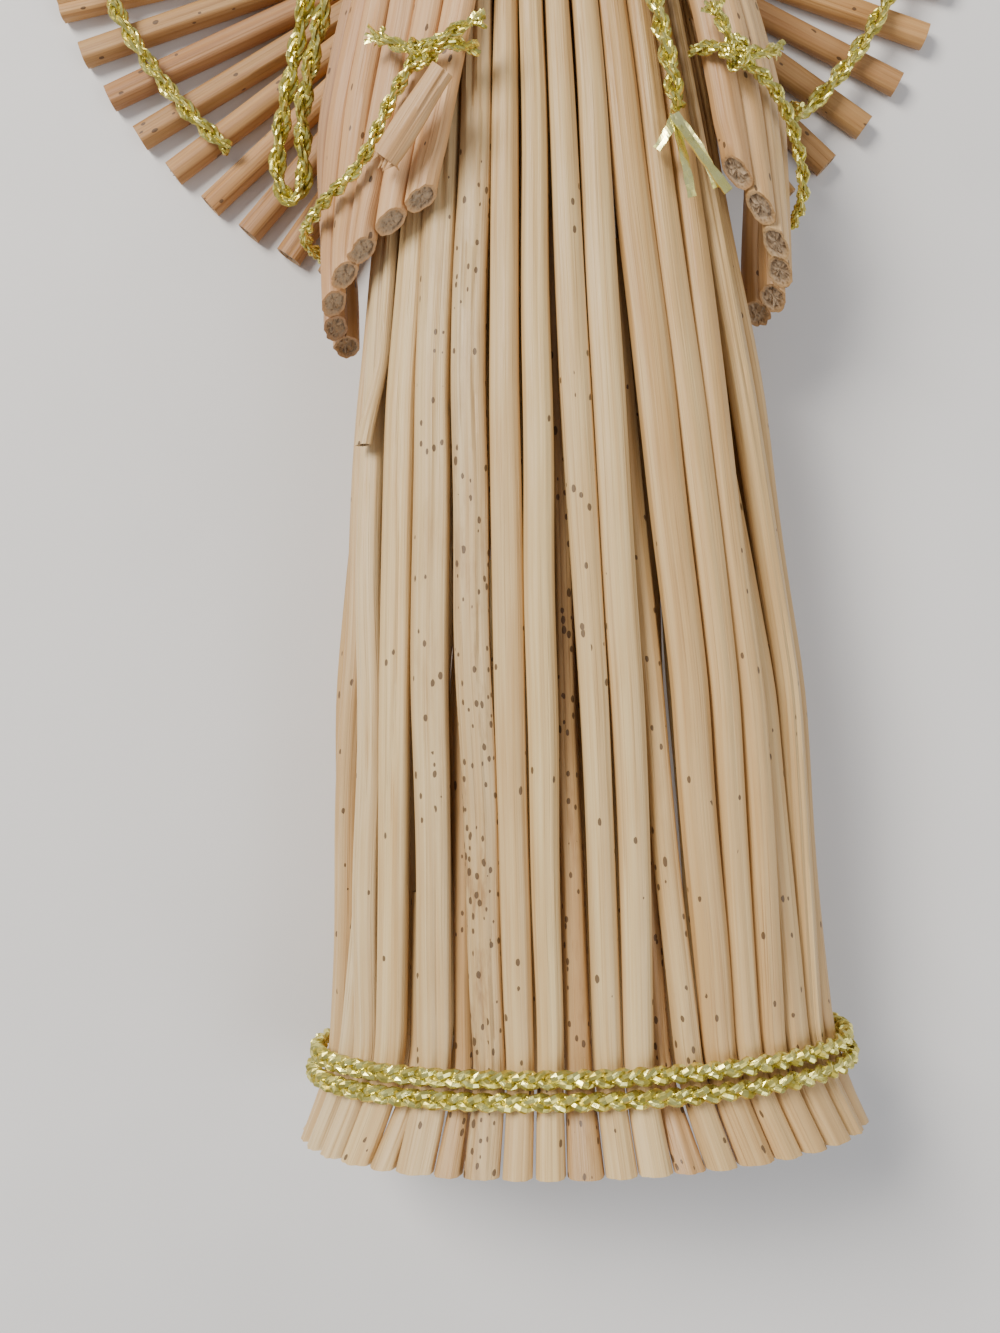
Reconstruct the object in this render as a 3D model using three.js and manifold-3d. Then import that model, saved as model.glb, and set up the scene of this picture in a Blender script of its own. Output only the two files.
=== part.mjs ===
// A straw angel ornament lying on its back. A skirt of wheat straws runs from a flared, straight-cut
// hem to the neck, two sleeves of straws hang over its sides, two fans of straws are the wings, and
// gold cord ties it. Millimetres. +Y runs from hem to head, +Z is the front, which faces up.
import * as THREE from 'three';
import { mergeVertices } from 'three/addons/utils/BufferGeometryUtils.js';
import Module from 'manifold-3d';

const wasm = await Module();
wasm.setup();

// ---------------------------------------------------------------- driving dimensions
const FRONT_STRAW_SIDES = 8;
const PLAIN_STRAW_SIDES = 6;
const LOOSE_CORD_SIDES = 8;
const BOUND_CORD_SIDES = 6;
const STRAW_GAP = 0.36;
const NECK = 149;

// The gown's outer ellipse at each height above the hem, and the height of its middle off the floor.
const GOWN = [
  { y: 0, halfWidth: 29.7, halfDepth: 15.5, middle: 15.5 },
  { y: 8, halfWidth: 26.4, halfDepth: 12.7, middle: 15.5 },
  { y: 45, halfWidth: 24.6, halfDepth: 13.2, middle: 15.8 },
  { y: 75, halfWidth: 21.3, halfDepth: 12.4, middle: 16.1 },
  { y: 105, halfWidth: 17.0, halfDepth: 11.0, middle: 16.4 },
  { y: 130, halfWidth: 12.4, halfDepth: 9.2, middle: 16.6 },
  { y: NECK, halfWidth: 7.6, halfDepth: 6.8, middle: 16.7 },
];

// Skirt straws from the left edge of the front to its right edge, with their width at the hem. A short
// filling straw tucks in behind its neighbours at a height above the hem, over a length below it. A
// straw with no tuck runs to the neck.
const FRONT_STRAWS = [
  { width: 2.7, tuck: 30, over: 30 }, { width: 2.4 }, { width: 2.7, tuck: 60, over: 50 }, { width: 3.0 },
  { width: 3.4 }, { width: 2.8, tuck: 26, over: 26 }, { width: 3.8 }, { width: 2.8, tuck: 60, over: 60 },
  { width: 3.6 }, { width: 3.1 }, { width: 3.0 }, { width: 3.5, tuck: 92, over: 92 },
  { width: 3.0 }, { width: 3.3 }, { width: 3.1, tuck: 32, over: 32 }, { width: 3.1, tuck: 90, over: 55 },
  { width: 3.8 }, { width: 3.1 }, { width: 3.0 }, { width: 3.6, tuck: 100, over: 60 },
  { width: 2.8 },
];
const BACK_STRAWS = 21;
const BACK_STRAW_WIDTH = 3.25;
const SEAM_AFTER = 11;          // the seam that lies nearest the middle of the front
const SEAM_AT_HEM = -2.5;
const SEAM_AT_CHEST = -0.7;
const CHEST = 105;
const STRAW_DEPTH = 2.6;
const NECK_STRAW_DEPTH = 1.6;
const NECK_STRAW_WIDTH = 1.7;
const NECK_STAGGER = 1.55;
const STAGGER_FROM = 112;
const TUCKED_WIDTH = 2.2;
const TUCKED_DEPTH = 1.8;
const TUCK_INSET = 3.05;
const SHORT_STRAW_END = 70.8;   // one straw on the left stops here and leaves a gap below it
const SHORT_STRAW_GAP = 0.9;
const SHORT_STRAW_AFTER = 4;

const SLEEVE_TOP = NECK;
const SLEEVE_DEPTH = 2.5;
const SLEEVE_RING = [
  { y: 80, halfWidth: 23.3, standOff: 1.6 },
  { y: 104, halfWidth: 23.3, standOff: 1.6 },
  { y: 112, halfWidth: 21.6, standOff: 1.6 },
  { y: 122, halfWidth: 18.9, standOff: 1.6 },
  { y: 136, halfWidth: 13.6, standOff: 1.6 },
  { y: SLEEVE_TOP, halfWidth: 8.9, standOff: 1.25 },
];
const SLEEVES = {
  left: {
    side: -1,
    straws: 7,
    start: [{ y: 90, arc: 14.2 }, { y: 112, arc: 8.9 }, { y: SLEEVE_TOP, arc: 3.4 }],
    pitch: [{ y: 90, arc: 3.2 }, { y: 112, arc: 3.0 }, { y: SLEEVE_TOP, arc: 2.0 }],
    cutPoint: new THREE.Vector3(-13.8, 93.2, 27),
    cutNormal: new THREE.Vector3(0.25, -0.85, 0.45),
  },
  right: {
    side: 1,
    straws: 6,
    start: [{ y: 90, arc: 19.3 }, { y: 112, arc: 15.8 }, { y: SLEEVE_TOP, arc: 5.0 }],
    pitch: [{ y: 90, arc: 3.0 }, { y: 112, arc: 3.0 }, { y: SLEEVE_TOP, arc: 2.0 }],
    cutPoint: new THREE.Vector3(18.1, 95.6, 25),
    cutNormal: new THREE.Vector3(-0.47, -0.76, 0.45),
  },
};

const WINGS = {
  left: { side: -1, root: [0, 137], straws: 15, lowest: -59.5, step: 6.05, shortest: 50, longest: 58.5 },
  right: { side: 1, root: [2, 136], straws: 11, lowest: -53.5, step: 8.05, shortest: 43.2, longest: 48.5 },
};
const WING_STRAW_WIDTH = 2.9;
const WING_STRAW_DEPTH = 2.7;
const WING_BUNDLE_WIDTH = 7.0;     // both fans are squeezed to this at the middle, under their tie
const WING_BUNDLE_DEPTH = 3.2;
const WING_BUNDLE_LIFT = 2.2;
const WING_BUNDLE_MIDDLE = [1, 137];
const WING_BUNDLE_HALF_LENGTH = 3.4;

// The head is straw bent over from the neck: its outline, and how many straws show round it.
const HEAD_STRAWS = 16;
const HEAD_GROOVE = 0.9;
const HEAD_FLATTENING = 0.9;
const HEAD = [
  { y: 149.4, radius: 7.0 },
  { y: 152.4, radius: 9.3 },
  { y: 157.5, radius: 11.5 },
  { y: 163.5, radius: 12.1 },
  { y: 169.5, radius: 10.6 },
  { y: 173.6, radius: 7.2 },
  { y: 175.6, radius: 3.0 },
];

const CLEARANCE = 0.4;
const HEM_CORD = { diameter: 1.9, turns: [7.0, 9.05] };
const NECK_CORD = { diameter: 1.6, turns: [143.3, 145.1, 146.9] };
const TIE_DIAMETER = 1.6;
const LACING_DIAMETER = 2.2;
const LOOP_DIAMETER = 2.2;
const TAIL_DIAMETER = 2.1;
const LACING_INSET = 6;

const STRAW_TONES = [0xd9b97c, 0xcfa968, 0xdcc08a, 0xc9a05f, 0xd4b274];
const WING_TONE = 0xb98d55;
const GOLD = { color: 0xd8c24a, roughness: 0.28, metalness: 0.95 };

// ---------------------------------------------------------------- small tools
const ornament = new THREE.Group();

function addPiece(name, geometry, look) {
  const material = new THREE.MeshStandardMaterial({ roughness: 0.62, metalness: 0, ...look });
  const mesh = new THREE.Mesh(geometry, material);
  mesh.name = name;
  ornament.add(mesh);
}

function between(stations, y, key) {
  const last = stations.length - 1;
  const rising = stations[last].y > stations[0].y ? stations : [...stations].reverse();
  if (y <= rising[0].y) return rising[0][key];
  for (let i = 0; i < last; i++) {
    const low = rising[i];
    const high = rising[i + 1];
    if (y <= high.y) return THREE.MathUtils.lerp(low[key], high[key], (y - low.y) / (high.y - low.y));
  }
  return rising[last][key];
}

function gownAt(y) {
  return {
    halfWidth: between(GOWN, y, 'halfWidth'),
    halfDepth: between(GOWN, y, 'halfDepth'),
    middle: between(GOWN, y, 'middle'),
  };
}

// An ellipse measured by arc length from the middle of the front, positive towards +X.
function makeRing(halfWidth, halfDepth, middle) {
  const steps = 240;
  const arcs = [0];
  const speed = (angle) => Math.hypot(halfWidth * Math.cos(angle), halfDepth * Math.sin(angle));
  for (let i = 0; i < steps; i++) {
    arcs.push(arcs[i] + speed(((i + 0.5) * Math.PI) / steps) * (Math.PI / steps));
  }
  const half = arcs[steps];
  const angleAt = (arc) => {
    const wrapped = THREE.MathUtils.euclideanModulo(arc + half, 2 * half) - half;
    const wanted = Math.abs(wrapped);
    let i = 1;
    while (i < steps && arcs[i] < wanted) i++;
    const part = (wanted - arcs[i - 1]) / (arcs[i] - arcs[i - 1]);
    return (Math.sign(wrapped) * (i - 1 + part) * Math.PI) / steps;
  };
  return {
    perimeter: 2 * half,
    // Point, sideways direction and outward direction, each as [x, z].
    at(arc, lift = 0) {
      const angle = angleAt(arc);
      const along = [halfWidth * Math.cos(angle), -halfDepth * Math.sin(angle)];
      const length = Math.hypot(...along);
      const side = [along[0] / length, along[1] / length];
      const out = [-side[1], side[0]];
      const x = halfWidth * Math.sin(angle) + lift * out[0];
      const z = middle + halfDepth * Math.cos(angle) + lift * out[1];
      return { x, z, side, out };
    },
  };
}

function closed(geometry) {
  geometry.deleteAttribute('normal');
  geometry.deleteAttribute('uv');
  return mergeVertices(geometry, 1e-4);
}

// A straw is a cylinder whose rings are moved to their stations. Each station gives its centre, its
// sideways and outward unit vectors, and its width and depth across the flats.
function loftStraw(stations, sides = FRONT_STRAW_SIDES) {
  const geometry = new THREE.CylinderGeometry(1, 1, 1, sides, stations.length - 1);
  geometry.rotateY(Math.PI / sides);
  const flat = Math.cos(Math.PI / sides);
  const widest = sides % 4 === 0 ? flat : 1;
  const position = geometry.getAttribute('position');
  for (let i = 0; i < position.count; i++) {
    const index = Math.round((position.getY(i) + 0.5) * (stations.length - 1));
    const station = stations[index];
    const across = (position.getX(i) / widest) * (station.width / 2);
    const up = (position.getZ(i) / flat) * (station.depth / 2);
    const point = station.centre.clone();
    point.addScaledVector(station.side, across);
    point.addScaledVector(station.out, up);
    if (station.cut) station.cut(point);
    position.setXYZ(i, point.x, point.y, point.z);
  }
  return closed(geometry);
}

function vectorInSection([x, z]) {
  return new THREE.Vector3(x, 0, z);
}

// A round cord along a smooth line through the given points.
function cordAlong(points, diameter, steps, sides = BOUND_CORD_SIDES) {
  const path = new THREE.CatmullRomCurve3(points.map((p) => new THREE.Vector3(...p)));
  const section = new THREE.Shape();
  for (let i = 0; i < sides; i++) {
    const angle = (2 * Math.PI * i) / sides;
    const x = (diameter / 2) * Math.cos(angle);
    const y = (diameter / 2) * Math.sin(angle);
    if (i === 0) section.moveTo(x, y);
    else section.lineTo(x, y);
  }
  section.closePath();
  return closed(new THREE.ExtrudeGeometry(section, { steps, extrudePath: path, bevelEnabled: false }));
}

function toSolid(geometry) {
  const mesh = new wasm.Mesh({
    numProp: 3,
    vertProperties: new Float32Array(geometry.getAttribute('position').array),
    triVerts: new Uint32Array(geometry.getIndex().array),
  });
  return new wasm.Manifold(mesh);
}

// Straws that touch and belong to one bundle, joined into one body.
function fuse(geometries) {
  const whole = geometries.map(toSolid).reduce((sum, next) => sum.add(next));
  const result = whole.getMesh();
  const geometry = new THREE.BufferGeometry();
  geometry.setAttribute('position', new THREE.BufferAttribute(new Float32Array(result.vertProperties), 3));
  geometry.setIndex(new THREE.BufferAttribute(new Uint32Array(result.triVerts), 1));
  return geometry;
}

// ---------------------------------------------------------------- skirt
const skirtStraws = [...FRONT_STRAWS];
for (let i = 0; i < BACK_STRAWS; i++) {
  const filling = i % 3 === 2 && i < BACK_STRAWS - 1;
  skirtStraws.push({ width: BACK_STRAW_WIDTH, tuck: filling ? 46 + ((i * 29) % 56) : undefined, over: 46 });
}

// How much of a straw's width shows in the ring at a height: 1 on the surface, 0 once tucked in.
function showing(straw, y) {
  if (straw.tuck === undefined) return 1;
  return THREE.MathUtils.clamp((straw.tuck - y) / straw.over, 0, 1);
}

function skirtRing(y) {
  const depth = strawDepth(y);
  const { halfWidth, halfDepth, middle } = gownAt(y);
  return makeRing(halfWidth - depth / 2, halfDepth - depth / 2, middle);
}

function strawDepth(y) {
  return THREE.MathUtils.lerp(STRAW_DEPTH, NECK_STRAW_DEPTH, THREE.MathUtils.smoothstep(y, CHEST, NECK));
}

// Room kept in the ring beside the short straw: its own width above its end, a dark gap below it.
function shortStrawRoom(y) {
  if (y >= SHORT_STRAW_END) return 1.3;
  return SHORT_STRAW_GAP * THREE.MathUtils.smoothstep(y, 36, 56);
}

// Where every skirt straw lies in the ring at one height.
function skirtLayout(y) {
  const ring = skirtRing(y);
  const rooms = skirtStraws.map((straw) => straw.width * showing(straw, y));
  const shortRoom = shortStrawRoom(y);
  const total = rooms.reduce((sum, room) => sum + room, 0);
  const scale = (ring.perimeter - shortRoom) / total;
  let edge = THREE.MathUtils.lerp(SEAM_AT_HEM, SEAM_AT_CHEST, Math.min(y / CHEST, 1));
  for (let i = 0; i < SEAM_AFTER; i++) edge -= rooms[i] * scale;
  edge -= shortRoom;
  const places = [];
  let shortArc = 0;
  rooms.forEach((room, i) => {
    places.push({ arc: edge + (room * scale) / 2, room: room * scale });
    edge += room * scale;
    if (i === SHORT_STRAW_AFTER - 1) {
      shortArc = edge + shortRoom / 2;
      edge += shortRoom;
    }
  });
  return { ring, places, shortArc };
}

function skirtStation(straw, index, y, layout) {
  const { arc, room } = layout.places[index];
  const shown = showing(straw, y);
  const squeeze = THREE.MathUtils.smoothstep(y, STAGGER_FROM, NECK);
  const full = Math.max(room, shown < 1 ? TUCKED_WIDTH : 0);
  const width = THREE.MathUtils.lerp(full, NECK_STRAW_WIDTH + STRAW_GAP, squeeze) - STRAW_GAP;
  const tucked = TUCK_INSET * Math.sqrt(1 - shown * shown);
  const stagger = straw.order % 2 === 1 ? NECK_STAGGER * squeeze : 0;
  const place = layout.ring.at(arc, -tucked - stagger);
  return {
    centre: new THREE.Vector3(place.x, y, place.z),
    side: vectorInSection(place.side),
    out: vectorInSection(place.out),
    width,
    depth: THREE.MathUtils.lerp(TUCKED_DEPTH, strawDepth(y), shown),
  };
}

// A filling straw ends where it is wholly tucked in, on the straight run between two of the heights.
function cutShort(stations, y) {
  const above = stations.findIndex((station) => station.centre.y >= y);
  const kept = stations.slice(0, above);
  const low = stations[above - 1];
  const high = stations[above];
  const part = (y - low.centre.y) / (high.centre.y - low.centre.y);
  kept.push({
    centre: low.centre.clone().lerp(high.centre, part),
    side: low.side.clone().lerp(high.side, part).normalize(),
    out: low.out.clone().lerp(high.out, part).normalize(),
    width: THREE.MathUtils.lerp(low.width, high.width, part),
    depth: THREE.MathUtils.lerp(low.depth, high.depth, part),
  });
  return kept;
}

function addSkirt() {
  const layouts = GOWN.map(({ y }) => skirtLayout(y));
  let order = 0;
  skirtStraws.forEach((straw, index) => {
    straw.order = straw.tuck === undefined ? order++ : 0;
    let stations = GOWN.map(({ y }, level) => skirtStation(straw, index, y, layouts[level]));
    if (straw.tuck !== undefined) stations = cutShort(stations, straw.tuck);
    const inFront = index < FRONT_STRAWS.length && straw.tuck === undefined;
    const sides = inFront ? FRONT_STRAW_SIDES : PLAIN_STRAW_SIDES;
    const name = `skirt_straw_${String(index + 1).padStart(2, '0')}`;
    addPiece(name, loftStraw(stations, sides), { color: STRAW_TONES[(index * 3) % STRAW_TONES.length] });
  });
}

// The straw that stops short on the left of the front: its cut end bends outwards over the gap.
function addShortStraw() {
  const heights = [SHORT_STRAW_END, 74, 79, 92, 105];
  const stations = heights.map((y) => {
    const layout = skirtLayout(Math.max(y, SHORT_STRAW_END));
    const bend = 1 - THREE.MathUtils.smoothstep(y, SHORT_STRAW_END, 79);
    const place = layout.ring.at(layout.shortArc + 0.15 - 0.9 * bend, 0.6 + 1.4 * bend);
    return {
      centre: new THREE.Vector3(place.x, y, place.z),
      side: vectorInSection(place.side),
      out: vectorInSection(place.out),
      width: 0.8 + 0.6 * bend,
      depth: 1.4,
    };
  });
  addPiece('short_straw', loftStraw(stations), { color: STRAW_TONES[2] });
}

// ---------------------------------------------------------------- sleeves
function sleeveRing(y) {
  const { halfDepth, middle } = gownAt(y);
  const standOff = between(SLEEVE_RING, y, 'standOff');
  return makeRing(between(SLEEVE_RING, y, 'halfWidth'), halfDepth + standOff, middle);
}

function onSleeve(sleeve, y, order, lift = 0) {
  const arc = between(sleeve.start, y, 'arc') + order * between(sleeve.pitch, y, 'arc');
  return sleeveRing(y).at(sleeve.side * arc, lift);
}

function sleeveStraw(sleeve, order) {
  const { cutPoint, cutNormal } = sleeve;
  const cutHeight = (x, z) => {
    const rise = cutNormal.x * (x - cutPoint.x) + cutNormal.z * (z - cutPoint.z);
    return cutPoint.y - rise / cutNormal.y;
  };
  const low = onSleeve(sleeve, 88, order);
  const lowest = cutHeight(low.x, low.z);
  const heights = [lowest, 104, 113, 127, SLEEVE_TOP].filter((y) => y === lowest || y > lowest + 5);
  const stations = heights.map((y) => {
    const place = onSleeve(sleeve, y, order);
    const pinch = THREE.MathUtils.smoothstep(y, CHEST, SLEEVE_TOP);
    return {
      centre: new THREE.Vector3(place.x, y, place.z),
      side: vectorInSection(place.side),
      out: vectorInSection(place.out),
      width: THREE.MathUtils.lerp(2.85, 2.15, pinch),
      depth: THREE.MathUtils.lerp(SLEEVE_DEPTH, NECK_STRAW_DEPTH, pinch),
      cut: y === lowest ? (point) => point.setY(cutHeight(point.x, point.z)) : undefined,
    };
  });
  return loftStraw(stations);
}

function addSleeve(name, sleeve) {
  const straws = [];
  for (let order = 0; order < sleeve.straws; order++) straws.push(sleeveStraw(sleeve, order));
  addPiece(name, fuse(straws), { color: STRAW_TONES[1] });
}

// ---------------------------------------------------------------- wings
function wingTipRadius(wing, degrees) {
  const rise = THREE.MathUtils.clamp((degrees - wing.lowest) / 60, 0, 1);
  return THREE.MathUtils.lerp(wing.shortest, wing.longest, Math.pow(rise, 1.25));
}

function wingPoint(wing, degrees, radius, z) {
  const angle = THREE.MathUtils.degToRad(degrees);
  const x = wing.root[0] + wing.side * radius * Math.cos(angle);
  return new THREE.Vector3(x, wing.root[1] + radius * Math.sin(angle), z);
}

function wingStraw(wing, order) {
  const degrees = wing.lowest + order * wing.step;
  const angle = THREE.MathUtils.degToRad(degrees);
  const fanAcross = new THREE.Vector3(Math.sin(angle), -wing.side * Math.cos(angle), 0);
  const bundleAcross = new THREE.Vector3(0, -wing.side, 0);
  const spread = THREE.MathUtils.degToRad(wing.step);
  const pitch = WING_BUNDLE_WIDTH / wing.straws;
  const bundleY = WING_BUNDLE_MIDDLE[1] + (order - (wing.straws - 1) / 2) * pitch;
  const out = new THREE.Vector3(0, 0, 1);
  const inBundle = (reach) => ({
    centre: new THREE.Vector3(
      WING_BUNDLE_MIDDLE[0] + wing.side * reach,
      bundleY,
      WING_BUNDLE_LIFT + WING_BUNDLE_DEPTH / 2,
    ),
    side: bundleAcross,
    out,
    width: 1.1 * pitch,
    depth: WING_BUNDLE_DEPTH,
  });
  const inFan = (radius) => ({
    centre: wingPoint(wing, degrees, radius, WING_STRAW_DEPTH / 2),
    side: fanAcross,
    out,
    width: Math.min(WING_STRAW_WIDTH, 1.08 * spread * radius),
    depth: WING_STRAW_DEPTH,
  });
  const whole = WING_STRAW_WIDTH / (1.08 * spread);
  const tip = wingTipRadius(wing, degrees);
  const bundled = [inBundle(CLEARANCE / 2), inBundle(WING_BUNDLE_HALF_LENGTH)];
  return loftStraw([...bundled, inFan(whole), inFan(tip)], PLAIN_STRAW_SIDES);
}

function addWing(name, wing) {
  const straws = [];
  for (let order = 0; order < wing.straws; order++) straws.push(wingStraw(wing, order));
  addPiece(name, fuse(straws), { color: WING_TONE });
}

// ---------------------------------------------------------------- head
function addHead() {
  const geometry = new THREE.CylinderGeometry(1, 1, 1, 2 * HEAD_STRAWS, HEAD.length - 1);
  const position = geometry.getAttribute('position');
  const middle = gownAt(NECK).middle;
  for (let i = 0; i < position.count; i++) {
    const station = HEAD[Math.round((position.getY(i) + 0.5) * (HEAD.length - 1))];
    const angle = Math.atan2(position.getX(i), position.getZ(i));
    const onGroove = Math.cos(HEAD_STRAWS * angle) < 0;
    const radius = station.radius * (onGroove ? HEAD_GROOVE : 1);
    const x = position.getX(i) * radius;
    const z = middle + position.getZ(i) * radius * HEAD_FLATTENING;
    position.setXYZ(i, x, station.y, z);
  }
  addPiece('head', closed(geometry), { color: STRAW_TONES[0] });
}

// ---------------------------------------------------------------- cords wound round the straws
// A cord wound in flat turns one above the other, with a short step between them at the back.
function woundCord(ringAt, { diameter, turns }, steps) {
  const points = [];
  const perTurn = 30;
  const total = perTurn * turns.length;
  for (let i = 0; i <= total; i++) {
    const turn = Math.min(Math.floor(i / perTurn), turns.length - 1);
    const part = (i - turn * perTurn) / perTurn;
    const step = THREE.MathUtils.smoothstep(part, 0.86, 1);
    const y = THREE.MathUtils.lerp(turns[turn], turns[Math.min(turn + 1, turns.length - 1)], step);
    const ring = ringAt(y);
    const place = ring.at((part - 0.43) * ring.perimeter, CLEARANCE + diameter / 2);
    points.push([place.x, y, place.z]);
  }
  return cordAlong(points, diameter, steps);
}

function gownRing(y) {
  const { halfWidth, halfDepth, middle } = gownAt(y);
  return makeRing(halfWidth, halfDepth, middle);
}

// The surface of straws round the neck, where the sleeves lie over the gown.
function neckRing(y) {
  const { halfDepth, middle } = gownAt(y);
  const outside = SLEEVE_DEPTH / 2;
  const standOff = between(SLEEVE_RING, y, 'standOff');
  return makeRing(between(SLEEVE_RING, y, 'halfWidth') + outside, halfDepth + standOff + outside, middle);
}

// Points of a cord that lies over a sleeve: height above the hem, distance round the sleeve, and lift.
function overSleeve(side, places) {
  return places.map(([y, arc, lift]) => {
    const place = sleeveRing(y).at(side * arc, lift);
    return [place.x, y, place.z];
  });
}

function overGown(places) {
  return places.map(([y, arc, lift]) => {
    const place = gownRing(y).at(arc, lift);
    return [place.x, y, place.z];
  });
}

function addWoundCords() {
  addPiece('hem_cord', woundCord(gownRing, HEM_CORD, 56), GOLD);
  addPiece('neck_tie', woundCord(neckRing, NECK_CORD, 36), GOLD);
}

// Two turns round the middle of the wings' bundle, which lies close under the gown's back.
function addWingTie() {
  const ringHalfWidth = WING_BUNDLE_WIDTH / 2 + CLEARANCE + TIE_DIAMETER / 2 + 1.2;
  const ringHalfDepth = WING_BUNDLE_DEPTH / 2 + CLEARANCE + TIE_DIAMETER / 2;
  const squared = (value) => Math.sign(value) * Math.pow(Math.abs(value), 0.6);
  const points = [];
  for (let i = 0; i <= 40; i++) {
    const angle = (i / 40) * 4 * Math.PI;
    const x = WING_BUNDLE_MIDDLE[0] + TIE_DIAMETER * 1.1 * (i / 20 - 1);
    const y = WING_BUNDLE_MIDDLE[1] + ringHalfWidth * squared(Math.sin(angle));
    const z = WING_BUNDLE_LIFT + WING_BUNDLE_DEPTH / 2 + ringHalfDepth * squared(Math.cos(angle));
    points.push([x, y, z]);
  }
  addPiece('wing_tie', cordAlong(points, TIE_DIAMETER, 26), GOLD);
}

// Each sleeve is tied near its end, with a knot at the front whose two short ends spread.
const OVER_STRAWS = SLEEVE_DEPTH / 2 + CLEARANCE + TIE_DIAMETER / 2 + 0.1;
const SLEEVE_TIES = {
  left: {
    side: -1,
    cord: [[107, 7.3, 0.1], [106.6, 9.0, 2.6], [106, 12, 2.7], [103, 14.6, OVER_STRAWS],
      [97, 18.4, OVER_STRAWS], [94.6, 23, OVER_STRAWS], [93.2, 28, OVER_STRAWS], [92.6, 33.5, OVER_STRAWS]],
    ends: [[[106, 12, 2.9], [107.2, 14.2, 3.6], [108, 15.4, 3.4]],
      [[106, 12, 2.9], [107, 9.2, 3.7], [108, 7.2, 3.5]]],
  },
  right: {
    side: 1,
    cord: [[107, 13.6, -0.2], [106.6, 15.2, 2.2], [105.6, 17.6, 2.6], [103.6, 21.4, OVER_STRAWS],
      [99.6, 25, OVER_STRAWS], [95.6, 28, OVER_STRAWS], [93.6, 32.5, OVER_STRAWS], [92.8, 36, OVER_STRAWS]],
    ends: [[[106, 16.4, 2.9], [108, 15.2, 3.4], [109.2, 14.6, 3.2]],
      [[106, 16.4, 2.9], [106.6, 19.4, 3.6], [107.4, 20.6, 3.4]]],
  },
};

function addSleeveTies() {
  for (const [name, tie] of Object.entries(SLEEVE_TIES)) {
    const tubes = [cordAlong(overSleeve(tie.side, tie.cord), TIE_DIAMETER, 16)];
    for (const end of tie.ends) tubes.push(cordAlong(overSleeve(tie.side, end), TIE_DIAMETER, 2));
    addPiece(`${name}_sleeve_tie`, fuse(tubes), GOLD);
  }
}

// A cord laced across each wing a little inside the tips.
function lacingRoute(wing, lowest) {
  const points = [];
  const highest = wing.lowest + (wing.straws - 1) * wing.step;
  const height = WING_STRAW_DEPTH + CLEARANCE + LACING_DIAMETER / 2;
  for (let degrees = highest + 2; degrees > lowest; degrees -= 6) {
    const radius = wingTipRadius(wing, degrees) - LACING_INSET;
    points.push(wingPoint(wing, degrees, radius, height).toArray());
  }
  return points;
}

function addLacings() {
  const left = lacingRoute(WINGS.left, -44);
  addPiece('left_wing_lacing', cordAlong(left, LACING_DIAMETER, 20), GOLD);
  const right = [...lacingRoute(WINGS.right, -48), [27.2, 109.4, 6.5], [26.9, 106.6, 12.5]];
  addPiece('right_wing_lacing', cordAlong(right, LACING_DIAMETER, 20), GOLD);
}

// ---------------------------------------------------------------- cords that lie loose
const HANGING_LOOP = [
  [-12.8, 142.0, 23.6], [-16.2, 138.0, 22.2], [-19.6, 132.0, 19.8], [-22.6, 125.5, 17.4],
  [-25.0, 120.0, 14.6], [-27.2, 114.4, 11.6], [-29.1, 108.8, 9.0], [-30.0, 104.4, 7.6],
  [-29.7, 101.9, 7.2], [-28.5, 101.0, 7.1], [-27.3, 102.2, 7.4], [-26.9, 105.4, 8.6],
  [-26.6, 109.4, 10.4], [-24.6, 115.4, 13.2], [-22.6, 120.4, 15.6], [-20.4, 126.0, 17.6],
  [-17.8, 132.6, 18.6], [-15.9, 137.6, 19.2], [-14.2, 141.6, 19.6],
];

function addLooseCords() {
  addPiece('hanging_loop', cordAlong(HANGING_LOOP, LOOP_DIAMETER, 30, LOOSE_CORD_SIDES), GOLD);
  const lift = CLEARANCE + TAIL_DIAMETER / 2;
  const tail = overGown([[141, 3.9, lift], [135, 5.0, lift], [128, 6.4, lift], [119, 8.2, lift],
    [110.5, 9.9, lift + 0.2], [105.5, 10.6, lift + 0.5], [101.2, 11.2, lift + 0.6]]);
  addPiece('front_tail', cordAlong(tail, TAIL_DIAMETER, 12, LOOSE_CORD_SIDES), GOLD);
}

// The tail's end is frayed into flat tinsel strips that spread from its last twist.
const TINSEL_WIDTH = 1.1;
const TINSEL_THICKNESS = 0.4;
const TINSEL_ROOT = new THREE.Vector3(11.3, 100.5, 27.2);
const TINSEL_STRIPS = [
  { end: new THREE.Vector3(16.2, 92.8, 27.6), lift: 0.3 },
  { end: new THREE.Vector3(12.9, 92.8, 26.6), lift: 0 },
  { end: new THREE.Vector3(9.6, 97.4, 27.0), lift: 0 },
];

function addTinsel() {
  const strips = TINSEL_STRIPS.map(({ end, lift }) => {
    const run = end.clone().sub(TINSEL_ROOT);
    const strip = new THREE.BoxGeometry(TINSEL_WIDTH, run.length(), TINSEL_THICKNESS);
    strip.translate(0, run.length() / 2 - 0.4, lift / 2);
    const turn = new THREE.Quaternion().setFromUnitVectors(new THREE.Vector3(0, 1, 0), run.normalize());
    strip.applyQuaternion(turn);
    strip.translate(TINSEL_ROOT.x, TINSEL_ROOT.y, TINSEL_ROOT.z);
    return closed(strip);
  });
  addPiece('tail_tinsel', fuse(strips), GOLD);
}

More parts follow.
